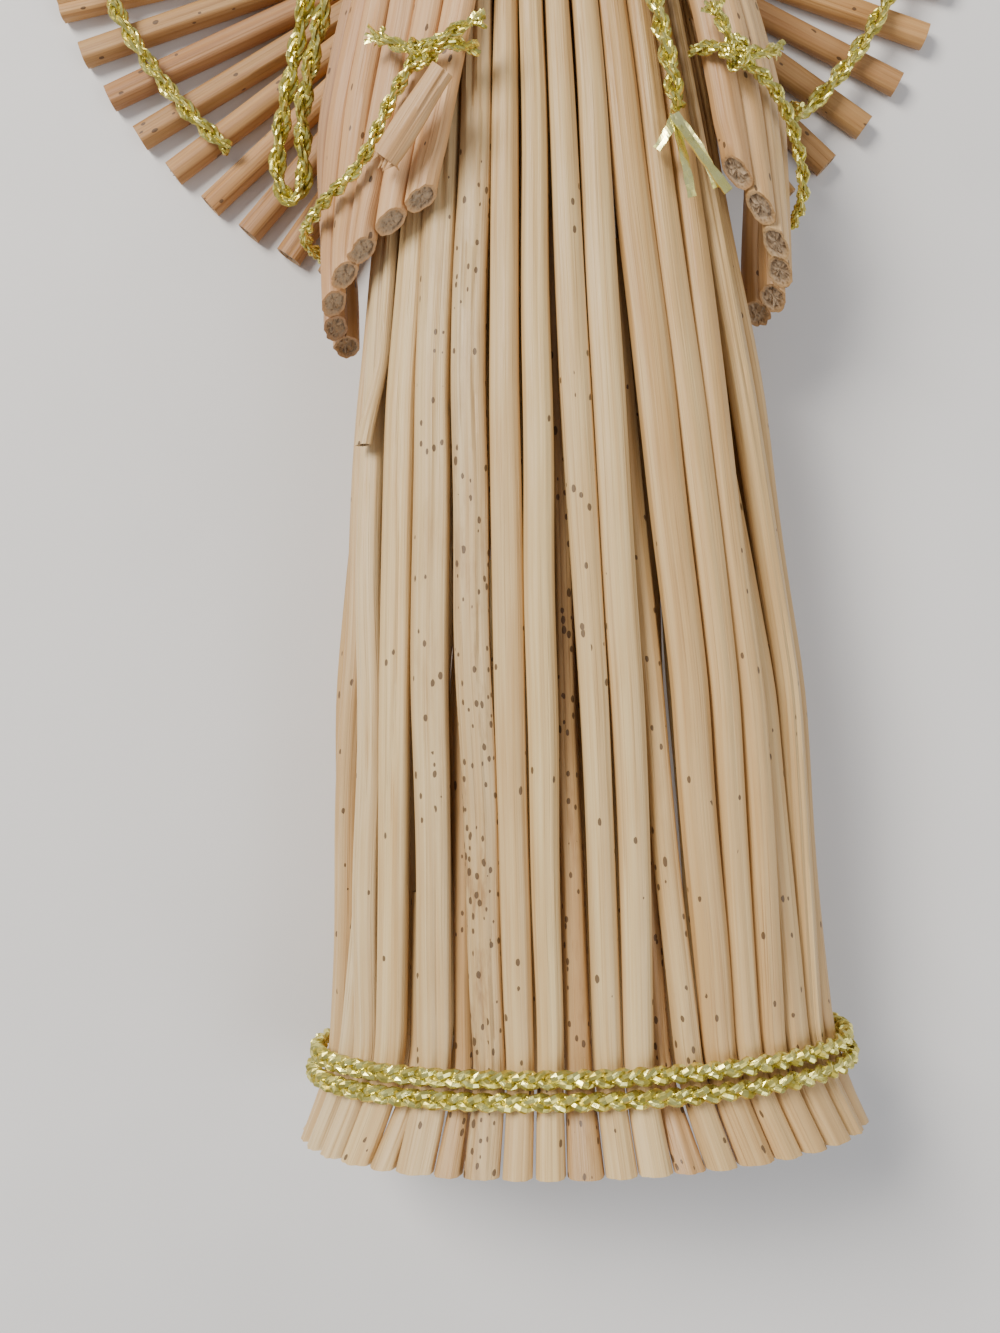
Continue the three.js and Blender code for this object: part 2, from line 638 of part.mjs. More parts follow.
// A broken straw lies slantwise over the left sleeve's tie.
function addBentStraw() {
  const low = new THREE.Vector3(-16.3, 96.2, 0);
  const high = new THREE.Vector3(-10.6, 103.4, 0);
  const across = new THREE.Vector3().subVectors(high, low).normalize();
  const stations = [low, high].map((end) => {
    const centre = end.clone().setZ(end === low ? 30.0 : 32.2);
    return {
      centre,
      side: new THREE.Vector3(across.y, -across.x, 0),
      out: new THREE.Vector3(0, 0, 1),
      width: 2.3,
      depth: 2.0,
    };
  });
  addPiece('bent_straw', loftStraw(stations), { color: STRAW_TONES[3] });
}

addSkirt();
addShortStraw();
addSleeve('left_sleeve', SLEEVES.left);
addSleeve('right_sleeve', SLEEVES.right);
addWing('left_wing', WINGS.left);
addWing('right_wing', WINGS.right);
addHead();
addWoundCords();
addWingTie();
addSleeveTies();
addLacings();
addLooseCords();
addTinsel();
addBentStraw();

// The origin is the middle of the footprint, on the surface that the ornament lies on.
const box = new THREE.Box3().setFromObject(ornament);
ornament.position.set(-(box.min.x + box.max.x) / 2, -(box.min.y + box.max.y) / 2, -box.min.z);

export default ornament;
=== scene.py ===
"""A straw angel ornament lying on its back: detailed wheat straws, plaited gold cord and tinsel.

The dimensions repeat the part's named values, in millimetres, in the body frame: the hem's plane is Y = 0,
the gown's middle is X = 0, the surface that the ornament lies on is Z = 0. ORIGIN moves them to the row
frame, where the meshes are made in metres.
"""

import math

import bpy
import numpy as np
from mathutils import Matrix, Vector


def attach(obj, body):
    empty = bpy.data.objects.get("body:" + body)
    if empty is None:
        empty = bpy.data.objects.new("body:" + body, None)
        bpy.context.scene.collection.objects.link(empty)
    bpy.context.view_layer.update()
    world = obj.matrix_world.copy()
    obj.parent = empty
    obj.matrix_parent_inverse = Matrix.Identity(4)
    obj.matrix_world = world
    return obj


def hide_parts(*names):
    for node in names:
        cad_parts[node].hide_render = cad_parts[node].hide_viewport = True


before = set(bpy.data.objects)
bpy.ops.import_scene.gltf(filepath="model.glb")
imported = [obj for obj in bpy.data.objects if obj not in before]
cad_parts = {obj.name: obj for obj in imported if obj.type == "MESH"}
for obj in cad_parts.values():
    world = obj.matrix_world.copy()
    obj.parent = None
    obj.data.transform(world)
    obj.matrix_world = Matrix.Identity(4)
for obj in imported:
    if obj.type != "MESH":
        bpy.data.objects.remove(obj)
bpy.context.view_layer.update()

MM = 0.001
FLOOR_HALF_SIDE = 1.6
ORIGIN = np.array([4.2019, -87.8, 0.0033])
UP = np.array([0.0, 0.0, 1.0])

# ---------------------------------------------------------------- dimensions repeated from the part
NECK = 149.0
CHEST = 105.0
CLEARANCE = 0.4
# height above the hem, half width, half depth, height of the middle
GOWN = np.array([
    [0, 29.7, 15.5, 15.5], [8, 26.4, 12.7, 15.5], [45, 24.6, 13.2, 15.8], [75, 21.3, 12.4, 16.1],
    [105, 17.0, 11.0, 16.4], [130, 12.4, 9.2, 16.6], [NECK, 7.6, 6.8, 16.7],
])
FRONT_STRAWS = 21
ALL_STRAWS = 42
# height, half width, stand-off
SLEEVE_RING = np.array([
    [80, 23.3, 1.6], [104, 23.3, 1.6], [112, 21.6, 1.6], [122, 18.9, 1.6], [136, 13.6, 1.6],
    [NECK, 8.9, 1.25],
])
SLEEVE_DEPTH = 2.5
SLEEVE_STRAW_WIDTH = 2.85
SLEEVE_NECK_WIDTH = 2.15
NECK_STRAW_DEPTH = 1.6
SLEEVES = {
    "left": {
        "side": -1, "straws": 7,
        "start": np.array([[90, 14.2], [112, 8.9], [NECK, 3.4]]),
        "pitch": np.array([[90, 3.2], [112, 3.0], [NECK, 2.0]]),
        "point": np.array([-13.8, 93.2, 27]), "normal": np.array([0.25, -0.85, 0.45]),
    },
    "right": {
        "side": 1, "straws": 6,
        "start": np.array([[90, 19.3], [112, 15.8], [NECK, 5.0]]),
        "pitch": np.array([[90, 3.0], [112, 3.0], [NECK, 2.0]]),
        "point": np.array([18.1, 95.6, 25]), "normal": np.array([-0.47, -0.76, 0.45]),
    },
}
WINGS = {
    "left": {
        "side": -1, "root": (0, 137), "straws": 15,
        "lowest": -59.5, "step": 6.05, "radii": (50, 58.5),
    },
    "right": {
        "side": 1, "root": (2, 136), "straws": 11,
        "lowest": -53.5, "step": 8.05, "radii": (43.2, 48.5),
    },
}
WING_STRAW_WIDTH = 2.9
WING_STRAW_DEPTH = 2.7
BUNDLE_WIDTH = 7.0
BUNDLE_DEPTH = 3.2
BUNDLE_LIFT = 2.2
BUNDLE_MIDDLE = (1, 137)
BUNDLE_HALF_LENGTH = 3.4
# height, radius
HEAD = np.array([
    [149.4, 7.0], [152.4, 9.3], [157.5, 11.5], [163.5, 12.1], [169.5, 10.6], [173.6, 7.2], [175.6, 3.0],
])
HEAD_FLATTENING = 0.9
HEM_CORD = (1.9, [7.0, 9.05])
NECK_CORD = (1.6, [143.3, 145.1, 146.9])
TIE_DIAMETER = 1.6
LACING_DIAMETER = 2.2
LOOP_DIAMETER = 2.2
TAIL_DIAMETER = 2.1
LACING_INSET = 6
OVER_STRAWS = SLEEVE_DEPTH / 2 + CLEARANCE + TIE_DIAMETER / 2 + 0.1


# ---------------------------------------------------------------- camera, lights, floor
def make_camera():
    data = bpy.data.cameras.new("camera")
    data.sensor_width = 36
    data.lens = 35.1
    data.clip_start = 0.01
    camera = bpy.data.objects.new("camera", data)
    camera.location = Vector((-2.97, -39.6, 152.0)) * MM
    camera.rotation_euler = (0, 0, math.radians(-1.95))
    bpy.context.scene.collection.objects.link(camera)
    bpy.context.scene.camera = camera


def make_light(name, position, size, power, colour):
    data = bpy.data.lights.new(name, "AREA")
    data.size = size
    data.energy = power
    data.color = colour
    light = bpy.data.objects.new(name, data)
    light.location = position
    light.rotation_mode = "QUATERNION"
    light.rotation_quaternion = (-Vector(position)).to_track_quat("-Z", "Y")
    bpy.context.scene.collection.objects.link(light)


def make_world():
    world = bpy.data.worlds.new("studio")
    world.use_nodes = True
    background = world.node_tree.nodes["Background"]
    background.inputs["Color"].default_value = (0.86, 0.90, 1.0, 1)
    background.inputs["Strength"].default_value = 0.42
    bpy.context.scene.world = world


make_camera()
make_world()
make_light("key", (-0.42, 0.34, 0.62), 0.34, 9.5, (1.0, 0.97, 0.92))
make_light("fill", (0.50, -0.30, 0.55), 0.60, 3.0, (0.95, 0.97, 1.0))


# ---------------------------------------------------------------- material tools
class Shader:
    """A procedural material: short calls that add nodes and return their output sockets."""

    def __init__(self, name):
        self.material = bpy.data.materials.new(name)
        self.material.use_nodes = True
        self.tree = self.material.node_tree
        self.surface = self.tree.nodes["Principled BSDF"]

    def set(self, socket, value):
        if isinstance(value, bpy.types.NodeSocket):
            self.tree.links.new(value, socket)
        elif isinstance(value, (tuple, list)) and len(socket.default_value) > len(value):
            socket.default_value = (*value, 1)
        else:
            socket.default_value = value

    def add(self, kind, inputs, **settings):
        node = self.tree.nodes.new(kind)
        for key, value in settings.items():
            setattr(node, key, value)
        for key, value in inputs.items():
            self.set(node.inputs[key], value)
        return node

    def attribute(self, name, output="Vector"):
        node = self.add("ShaderNodeAttribute", {})
        node.attribute_name = name
        return node.outputs[output]

    def scaled(self, vector, scale):
        node = self.add("ShaderNodeVectorMath", {0: vector, 1: scale}, operation="MULTIPLY")
        return node.outputs[0]

    def noise(self, vector, scale=1.0, detail=3.0, rough=0.55):
        inputs = {"Vector": vector, "Scale": scale, "Detail": detail, "Roughness": rough}
        return self.add("ShaderNodeTexNoise", inputs).outputs["Fac"]

    def cells(self, vector, scale=1.0):
        node = self.add("ShaderNodeTexVoronoi", {"Vector": vector, "Scale": scale})
        return node.outputs["Distance"], self.channel(node.outputs["Color"])

    def channel(self, colour):
        return self.add("ShaderNodeSeparateColor", {0: colour}).outputs[0]

    def math(self, operation, a, b=0.0):
        return self.add("ShaderNodeMath", {0: a, 1: b}, operation=operation).outputs[0]

    def span(self, value, low, high, start=0.0, end=1.0):
        inputs = {"Value": value, "From Min": low, "From Max": high, "To Min": start, "To Max": end}
        return self.add("ShaderNodeMapRange", inputs).outputs["Result"]

    def mix(self, share, a, b, blend="MIX"):
        node = self.add("ShaderNodeMix", {}, data_type="RGBA", blend_type=blend)
        self.set(node.inputs[0], share)
        self.set(node.inputs[6], a)
        self.set(node.inputs[7], b)
        return node.outputs[2]

    def finish(self, colour, roughness, height, bump, distance, **surface):
        inputs = {"Height": height, "Strength": bump, "Distance": distance * MM}
        normal = self.add("ShaderNodeBump", inputs).outputs[0]
        self.set(self.surface.inputs["Base Color"], colour)
        self.set(self.surface.inputs["Roughness"], roughness)
        self.set(self.surface.inputs["Normal"], normal)
        for key, value in surface.items():
            self.surface.inputs[key.replace("_", " ")].default_value = value
        return self.material


def make_straw_material(name, contrast, gloss):
    """Straw: long fine fibres, darker streaks, specks and stains where it has them, pithy cut ends."""
    s = Shader(name)
    at = s.attribute("at")
    tint = s.attribute("tint", "Color")
    spots = s.attribute("spots", "Fac")
    pith = s.attribute("pith", "Fac")
    broad = s.noise(s.scaled(at, (1.7, 1.7, 0.02)), 1, 3, 0.55)
    fine = s.noise(s.scaled(at, (6.5, 6.5, 0.05)), 1, 3, 0.6)
    cloud = s.noise(s.scaled(at, (0.5, 0.5, 0.09)), 1, 2, 0.5)
    tone = s.math("ADD", s.span(broad, 0.3, 0.7, 0, 0.55), s.span(fine, 0.3, 0.7, 0, 0.3))
    tone = s.math("ADD", tone, s.span(cloud, 0.3, 0.7, -0.05, 0.2))
    dark = s.mix(1.0, tint, contrast, "MULTIPLY")
    colour = s.mix(s.span(tone, 0.05, 0.85), dark, tint)
    lines = s.noise(s.scaled(at, (5.2, 5.2, 0.028)), 1, 2, 0.5)
    line = s.span(lines, 0.62, 0.70, 0, 0.42)
    colour = s.mix(line, colour, s.mix(1.0, tint, (0.48, 0.36, 0.26), "MULTIPLY"))
    stain = s.noise(s.scaled(at, (0.85, 0.85, 0.16)), 1, 4, 0.65)
    stained = s.math("MULTIPLY", s.span(stain, 0.50, 0.66), s.math("MULTIPLY", spots, 0.62))
    colour = s.mix(stained, colour, s.mix(1.0, tint, (0.42, 0.28, 0.18), "MULTIPLY"))
    distance, chance = s.cells(s.scaled(at, (1.45, 1.45, 0.8)))
    size = s.span(stain, 0.3, 0.7, 0.16, 0.40)
    speck = s.math("LESS_THAN", distance, size)
    here = s.math("LESS_THAN", chance, s.math("MULTIPLY", spots, 0.75))
    speck = s.math("MULTIPLY", s.math("MULTIPLY", speck, here), 0.85)
    colour = s.mix(speck, colour, (0.075, 0.038, 0.016))
    pores, shade = s.cells(at, 3.2)
    pulp = s.mix(s.span(pores, 0.1, 0.5), (0.13, 0.075, 0.04), (0.42, 0.29, 0.17))
    pulp = s.mix(s.math("MULTIPLY", shade, 0.5), pulp, (0.56, 0.42, 0.27))
    colour = s.mix(pith, colour, pulp)
    roughness = s.math("ADD", s.span(fine, 0.3, 0.7, gloss, gloss + 0.16), s.math("MULTIPLY", pith, 0.3))
    height = s.math("ADD", s.math("MULTIPLY", broad, 1.6), fine)
    height = s.math("SUBTRACT", height, s.math("MULTIPLY", speck, 0.5))
    height = s.math("SUBTRACT", height, s.math("MULTIPLY", line, 0.8))
    height = s.math("ADD", height, s.math("MULTIPLY", pith, s.math("MULTIPLY", pores, 2.5)))
    return s.finish(colour, roughness, height, 0.75, 0.09, Specular_IOR_Level=0.42)


def make_gold_material(name, deep, bright, wires):
    """Metallic yarn: flat foil round a core. Each facet has its own tone and gloss."""
    s = Shader(name)
    at = s.attribute("at")
    glint = s.attribute("glint", "Fac")
    threads = s.noise(s.scaled(at, (wires, wires, wires * 0.35)), 1, 2, 0.5)
    patch = s.noise(at, 0.45, 2, 0.5)
    share = s.math("ADD", s.math("MULTIPLY", glint, 0.85), s.span(patch, 0.35, 0.65, -0.15, 0.25))
    colour = s.mix(s.span(share, 0.0, 1.0), deep, bright)
    shaded = s.mix(1.0, colour, (0.4, 0.4, 0.25), "MULTIPLY")
    colour = s.mix(s.span(threads, 0.62, 0.75, 0, 0.5), colour, shaded)
    roughness = s.span(s.math("ADD", glint, threads), 0.4, 1.6, 0.42, 0.16)
    return s.finish(colour, roughness, threads, 0.5, 0.05, Metallic=0.92)


def make_floor_material():
    s = Shader("pale_floor")
    place = s.add("ShaderNodeTexCoord", {}).outputs["Object"]
    cloud = s.noise(place, 9, 4, 0.6)
    grain = s.noise(place, 900, 3, 0.6)
    colour = s.mix(s.span(cloud, 0.35, 0.65), (0.70, 0.675, 0.645), (0.77, 0.745, 0.715))
    return s.finish(colour, s.span(grain, 0.3, 0.7, 0.7, 0.85), grain, 0.12, 0.12)


STRAW = make_straw_material("wheat_straw", (0.74, 0.62, 0.48), 0.36)
WING_STRAW = make_straw_material("wing_straw", (0.60, 0.47, 0.34), 0.40)
GOLD = make_gold_material("gold_cord", (0.42, 0.33, 0.045), (0.96, 0.90, 0.30), 5.0)
TINSEL = make_gold_material("tinsel", (0.80, 0.68, 0.14), (1.0, 0.96, 0.42), 2.0)


def make_floor():
    reach = FLOOR_HALF_SIDE
    corners = [(-reach, -reach, 0), (reach, -reach, 0), (reach, reach, 0), (-reach, reach, 0)]
    mesh = bpy.data.meshes.new("floor")
    mesh.from_pydata(corners, [], [(0, 1, 2, 3)])
    mesh.materials.append(make_floor_material())
    floor = bpy.data.objects.new("floor", mesh)
    bpy.context.scene.collection.objects.link(floor)


make_floor()


# ---------------------------------------------------------------- mesh tools
def unit(v):
    v = np.asarray(v, float)
    return v / np.linalg.norm(v, axis=-1, keepdims=True)


def srgb(r, g, b):
    c = np.array([r, g, b]) / 255
    return np.where(c <= 0.04045, c / 12.92, ((c + 0.055) / 1.055) ** 2.4)


class Pile:
    """Points and faces of one piece, with what its material reads at each of them."""

    def __init__(self):
        self.points, self.at, self.tint, self.spots, self.pith = [], [], [], [], []
        self.faces, self.glint = [], []
        self.count = 0

    def add_points(self, points, at, tint=(1, 1, 1), spots=0.0, pith=0.0):
        n = len(points)
        start = self.count
        self.points.append(points)
        self.at.append(at)
        self.tint.append(np.broadcast_to(tint, (n, 3)))
        self.spots.append(np.broadcast_to(spots, n))
        self.pith.append(np.broadcast_to(pith, n))
        self.count += n
        return start

    def add_faces(self, faces, glint=None):
        self.faces.extend(faces)
        self.glint.extend([0.5] * len(faces) if glint is None else glint)

    def strip(self, low, high, n, glint=None):
        """Faces between two closed rings of n points that start at low and high."""
        faces = [(low + i, low + (i + 1) % n, high + (i + 1) % n, high + i) for i in range(n)]
        self.add_faces(faces, glint)

    def build(self, name, node, material, smooth=True):
        mesh = bpy.data.meshes.new(name)
        points = (np.concatenate(self.points) + ORIGIN) * MM
        mesh.from_pydata(points.tolist(), [], self.faces)
        for key, kind, values in (
            ("at", "FLOAT_VECTOR", np.concatenate(self.at)),
            ("spots", "FLOAT", np.concatenate(self.spots)),
            ("pith", "FLOAT", np.concatenate(self.pith)),
        ):
            attribute = mesh.attributes.new(key, kind, "POINT")
            field = "vector" if kind == "FLOAT_VECTOR" else "value"
            attribute.data.foreach_set(field, values.astype(np.float32).ravel())
        tint = np.concatenate(self.tint)
        tint = np.concatenate([tint, np.ones((len(tint), 1))], axis=1)
        colours = mesh.attributes.new("tint", "FLOAT_COLOR", "POINT")
        colours.data.foreach_set("color", tint.astype(np.float32).ravel())
        glint = np.array(self.glint, np.float32)
        mesh.attributes.new("glint", "FLOAT", "FACE").data.foreach_set("value", glint)
        mesh.materials.append(material)
        mesh.polygons.foreach_set("use_smooth", np.full(len(mesh.polygons), smooth))
        if smooth:
            mesh.set_sharp_from_angle(angle=math.radians(48))
        mesh.update()
        piece = bpy.data.objects.new(name, mesh)
        bpy.context.scene.collection.objects.link(piece)
        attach(piece, "root")
        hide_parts(node)
        return piece


def smoothstep(x, low, high):
    t = np.clip((x - low) / (high - low), 0, 1)
    return t * t * (3 - 2 * t)


def eased(values, passes):
    """The same run of values with its corners rounded and its ends kept."""
    values = np.array(values, float)
    for _ in range(passes):
        values[1:-1] = (values[:-2] + 2 * values[1:-1] + values[2:]) / 4
    return values


def wander(n, step, reach, seed):
    """A slow random drift along a straw, n values about zero."""
    rng = np.random.default_rng(seed)
    s = np.arange(n) * step
    drift = np.zeros(n)
    for k in range(4):
        drift += rng.normal() * np.sin(2 * math.pi * s / rng.uniform(28, 110) + rng.uniform(0, 6.3))
    return drift * reach / 2


# How far a straw's section is from an ellipse (1) towards a box (0), and where it may swell past its width.
SQUARENESS = 0.86
LARGEST_SWELL = 1.04


class Straw:
    """One straw: its centre line and section at each step along it, and how it looks."""

    def __init__(
        self, centre, side, out, width, depth, tint, seed, creases=(), spots=0.0, points=28, ridge=0.03
    ):
        self.centre, self.side, self.out = centre, side, out
        self.width, self.depth = width, depth
        self.seed, self.points = seed, points
        n = len(centre)
        self.tint = np.broadcast_to(tint, (n, 3))
        self.spots = np.broadcast_to(spots, n)
        self.creases = creases
        self.ridge = ridge
        self.paint = None
        self.flatten = None

    def add_to(self, pile, low_end="cut", high_end="cut"):
        n, k = len(self.centre), self.points
        rng = np.random.default_rng(self.seed)
        length = np.concatenate([[0], np.cumsum(np.linalg.norm(np.diff(self.centre, axis=0), axis=1))])
        theta = np.linspace(0, 2 * math.pi, k, endpoint=False)[None, :] + math.pi / k
        factor = np.ones((n, k))
        for waves in (5, 8, 11):
            turn = rng.uniform(0, 6.3) + wander(n, 1.5, 0.5, self.seed + waves)[:, None]
            factor += self.ridge * rng.uniform(0.4, 1.0) * np.cos(waves * theta + turn)
        for number, (degrees, deep, wide) in enumerate(self.creases):
            place = math.radians(degrees) + wander(n, 1.5, 0.10, self.seed + 50 + number)[:, None]
            gap = (theta - place + math.pi) % (2 * math.pi) - math.pi
            strength = deep * (1 + 0.5 * wander(n, 1.5, 1.0, self.seed + 70 + number)[:, None])
            factor -= np.clip(strength, 0, 2 * deep) * np.exp(-((gap / wide) ** 2))
        factor = np.minimum(factor, LARGEST_SWELL)
        cosine, sine = np.cos(theta), np.sin(theta)
        across = np.sign(cosine) * np.abs(cosine) ** SQUARENESS * factor * self.width[:, None] / 2
        lift = np.sign(sine) * np.abs(sine) ** SQUARENESS * factor * self.depth[:, None] / 2
        rings = self.centre[:, None] + across[..., None] * self.side[:, None]
        rings = rings + lift[..., None] * self.out[:, None]
        if self.flatten is not None:
            rings = self.flatten(rings)
        along = np.repeat(length[:, None], k, 1)
        at = np.stack([across + 13.7 * self.seed, lift + 7.3 * self.seed, along], axis=-1)
        tint = np.repeat(self.tint[:, None], k, 1)
        if self.paint is not None:
            tint = self.paint(rings, tint)
        spots = np.repeat(self.spots[:, None], k, 1)
        start = pile.add_points(
            rings.reshape(-1, 3), at.reshape(-1, 3), tint.reshape(-1, 3), spots.ravel(), 0.0
        )
        for i in range(n - 1):
            pile.strip(start + i * k, start + (i + 1) * k, k)
        self.add_cap(pile, start, rings[0], rings[0] - rings[1], at[0], tint[0], low_end, True)
        last = start + (n - 1) * k
        self.add_cap(pile, last, rings[-1], rings[-1] - rings[-2], at[-1], tint[-1], high_end, False)

    def add_cap(self, pile, edge, ring, away, at, tint, kind, flip):
        """Closes an end. A cut end has a thin rim and rough pith set a little back inside it."""
        k = len(ring)
        rng = np.random.default_rng(self.seed + 900 + flip)
        middle = ring.mean(axis=0)
        inward = -unit(away.mean(axis=0))
        place = at.mean(axis=0)
        steps = [(0.80, 0.0, 0.0, 0.55), (0.72, 0.30, 0.05, 1.0), (0.42, 0.25, 0.16, 1.0)]
        if kind == "plain":
            steps = [(0.6, 0.0, 0.0, 0.0)]
        before = edge
        for scale, set_back, rough, pith in steps:
            points = middle + (ring - middle) * scale + inward * set_back
            points = points + inward * rng.normal(0, rough, (k, 1))
            where = place + (at - place) * scale + np.array([0, 0, set_back])
            now = pile.add_points(points, where, tint, 0.0, pith)
            pile.strip(now, before, k) if flip else pile.strip(before, now, k)
            before = now
        depth = 0.0 if kind == "plain" else 0.35
        point = (middle + inward * depth)[None]
        tip = pile.add_points(point, place[None], tint.mean(axis=0), 0.0, steps[-1][3])
        faces = []
        for i in range(k):
            a, b = before + i, before + (i + 1) % k
            faces.append((b, a, tip) if flip else (a, b, tip))
        pile.add_faces(faces)


# ---------------------------------------------------------------- rings round the gown
def ring_table(half_width, half_depth):
    angle = np.linspace(0, math.pi, 241)
    mid = (angle[1:] + angle[:-1]) / 2
    lengths = np.hypot(half_width * np.cos(mid), half_depth * np.sin(mid)) * math.pi / 240
    return angle, np.concatenate([[0], np.cumsum(lengths)])


def on_ring(half_width, half_depth, middle, arc, lift=0.0):
    """Point, sideways and outward directions in (x, z), at a distance round an ellipse from its front."""
    angle, arcs = ring_table(half_width, half_depth)
    half = arcs[-1]
    wrapped = (arc + half) % (2 * half) - half
    a = math.copysign(np.interp(abs(wrapped), arcs, angle), wrapped)
    side = unit([half_width * math.cos(a), -half_depth * math.sin(a)])
    out = np.array([-side[1], side[0]])
    point = np.array([half_width * math.sin(a), middle + half_depth * math.cos(a)]) + lift * out
    return point, side, out


def at_height(table, y, column):
    return float(np.interp(y, table[:, 0], table[:, column]))


def gown_at(y):
    return [at_height(GOWN, y, column) for column in (1, 2, 3)]


def in_space(y, xz):
    return np.array([xz[0], y, xz[1]])


# ---------------------------------------------------------------- gown straws
def straw_stations(node):
    """Each ring of a gown straw's solid: height, centre x and z, turn of its outward side, width, depth."""
    vertices = np.array([v.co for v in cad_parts[node].data.vertices]) / MM - ORIGIN
    vertices = np.unique(np.round(vertices, 3), axis=0)
    rows = []
    for level in np.unique(np.round(vertices[:, 1], 1)):
        ring = vertices[np.abs(vertices[:, 1] - level) < 0.08][:, [0, 2]]
        if len(ring) < 6:
            continue
        middle = ring.mean(axis=0)
        half_width, half_depth, lift = gown_at(level)
        hint = unit([middle[0] / half_width**2, (middle[1] - lift) / half_depth**2])
        ring = ring[np.argsort(np.arctan2(*(ring - middle).T))]
        edges = unit(np.roll(ring, -1, axis=0) - ring)
        normals = np.stack([-edges[:, 1], edges[:, 0]], axis=1)
        out = max(list(normals) + list(-normals), key=lambda v: float(v @ hint))
        side = np.array([out[1], -out[0]])
        width = np.ptp(ring @ side)
        depth = np.ptp(ring @ out)
        rows.append([level, middle[0], middle[1], math.atan2(out[0], out[1]), width, depth])
    rows = np.array(rows)
    rows[:, 3] = np.unwrap(rows[:, 3])
    return rows


# Front straws from the left: colour, creases as (degrees round the section, depth, width), specks at the
# hem and specks higher up.
SMOOTH = ((118, 0.05, 0.30),)
FOLDED = ((104, 0.17, 0.20), (66, 0.13, 0.18))
CREASED = ((78, 0.15, 0.20), (122, 0.09, 0.22))
FRONT_LOOKS = [
    ((226, 200, 154), FOLDED, 0.15, 0.05), ((216, 184, 134), CREASED, 0.10, 0.10),
    ((226, 202, 156), FOLDED, 0.10, 0.0), ((228, 202, 154), FOLDED, 0.05, 0.0),
    ((226, 196, 142), ((70, 0.20, 0.20), (112, 0.10, 0.16)), 0.05, 0.0),
    ((216, 186, 134), SMOOTH, 0.05, 0.0),
    ((222, 194, 144), ((58, 0.16, 0.22), (108, 0.06, 0.16)), 0.10, 0.30),
    ((206, 170, 118), SMOOTH, 0.20, 0.1),
    ((214, 186, 138), ((96, 0.15, 0.16), (58, 0.12, 0.18)), 0.95, 0.35),
    ((216, 184, 130), ((112, 0.07, 0.14), (84, 0.06, 0.12)), 0.12, 0.0),
    ((224, 194, 138), ((70, 0.06, 0.2),), 0.06, 0.0), ((196, 160, 110), SMOOTH, 0.50, 0.35),
    ((222, 192, 138), SMOOTH, 0.05, 0.12), ((224, 194, 140), SMOOTH, 0.04, 0.0),
    ((204, 166, 116), CREASED, 0.70, 0.5), ((214, 182, 128), SMOOTH, 0.25, 0.05),
    ((210, 174, 118), ((112, 0.06, 0.2),), 0.06, 0.0), ((216, 182, 126), ((74, 0.07, 0.2),), 0.05, 0.0),
    ((210, 174, 118), SMOOTH, 0.12, 0.0), ((210, 176, 122), ((90, 0.06, 0.2),), 0.10, 0.05),
    ((212, 180, 126), CREASED, 0.06, 0.0),
]
BACK_COLOURS = [(210, 178, 124), (202, 166, 112), (216, 186, 134), (196, 160, 108), (208, 174, 120)]
SPECKLED_STRAW = 8
RED_MARK = np.array([-15.3, 29.2, 27.5])


def red_mark(rings, tint):
    """A small smear of red on the speckled straw, above the hem."""
    away = rings - RED_MARK
    reach = np.hypot(away[..., 0] / 0.55, away[..., 1] / 1.5)
    ragged = 0.25 * np.sin(9 * rings[..., 1] + 7 * rings[..., 0])
    share = np.clip(1.35 - reach + ragged, 0, 0.85)[..., None]
    return tint * (1 - share) + np.array([0.60, 0.10, 0.07]) * share


def gown_straw(index):
    rows = straw_stations(f"skirt_straw_{index + 1:02d}")
    front = index < FRONT_STRAWS
    step = 0.6 if index == SPECKLED_STRAW else (1.25 if front else 3.0)
    n = int((rows[-1, 0] - rows[0, 0]) / step) + 2
    y = np.linspace(rows[0, 0], rows[-1, 0], n)
    passes = int(9 / step**2) + 1
    x, z, turn, width, depth = (eased(np.interp(y, rows[:, 0], rows[:, c]), passes) for c in range(1, 6))
    side = np.stack([np.cos(turn), np.zeros(n), -np.sin(turn)], axis=1)
    out = np.stack([np.sin(turn), np.zeros(n), np.cos(turn)], axis=1)
    centre = np.stack([x, y, z], axis=1)
    ends = smoothstep(y, 2, 14) * smoothstep(-y, -140, -110)
    seed = 300 + index * 5
    centre = centre + side * (wander(n, step, 0.13, seed) * ends)[:, None]
    centre = centre + out * (wander(n, step, 0.16, seed + 1) * ends)[:, None]
    width = width * (1 + 0.03 * wander(n, step, 1.0, seed + 2)) + 0.16
    if front:
        colour, creases, low, high = FRONT_LOOKS[index]
        upper = smoothstep(y, 15, 60) * (1 - smoothstep(y, 85, 110))
        spots = low * (1 - smoothstep(y, 25, 75)) + high * upper
    else:
        colour, creases = BACK_COLOURS[index % 5], CREASED if index % 2 else SMOOTH
        spots = 0.12
    tint = np.repeat(srgb(*colour)[None], n, axis=0)
    # Painted shade: the tint gets darker and warmer towards the neck, where the sleeves lie over the gown.
    shade = 1 - 0.16 * smoothstep(y, 70, 135)
    tint = tint * np.stack([shade, shade**1.35, shade**1.8], axis=1)
    straw = Straw(centre, side, out, width, depth, tint, index + 1, creases, spots, 36 if front else 20)
    if index == SPECKLED_STRAW:
        straw.paint = red_mark
    return straw


for index in range(ALL_STRAWS):
    pile = Pile()
    gown_straw(index).add_to(pile)
    pile.build(f"gown_straw_{index + 1:02d}", f"skirt_straw_{index + 1:02d}", STRAW)


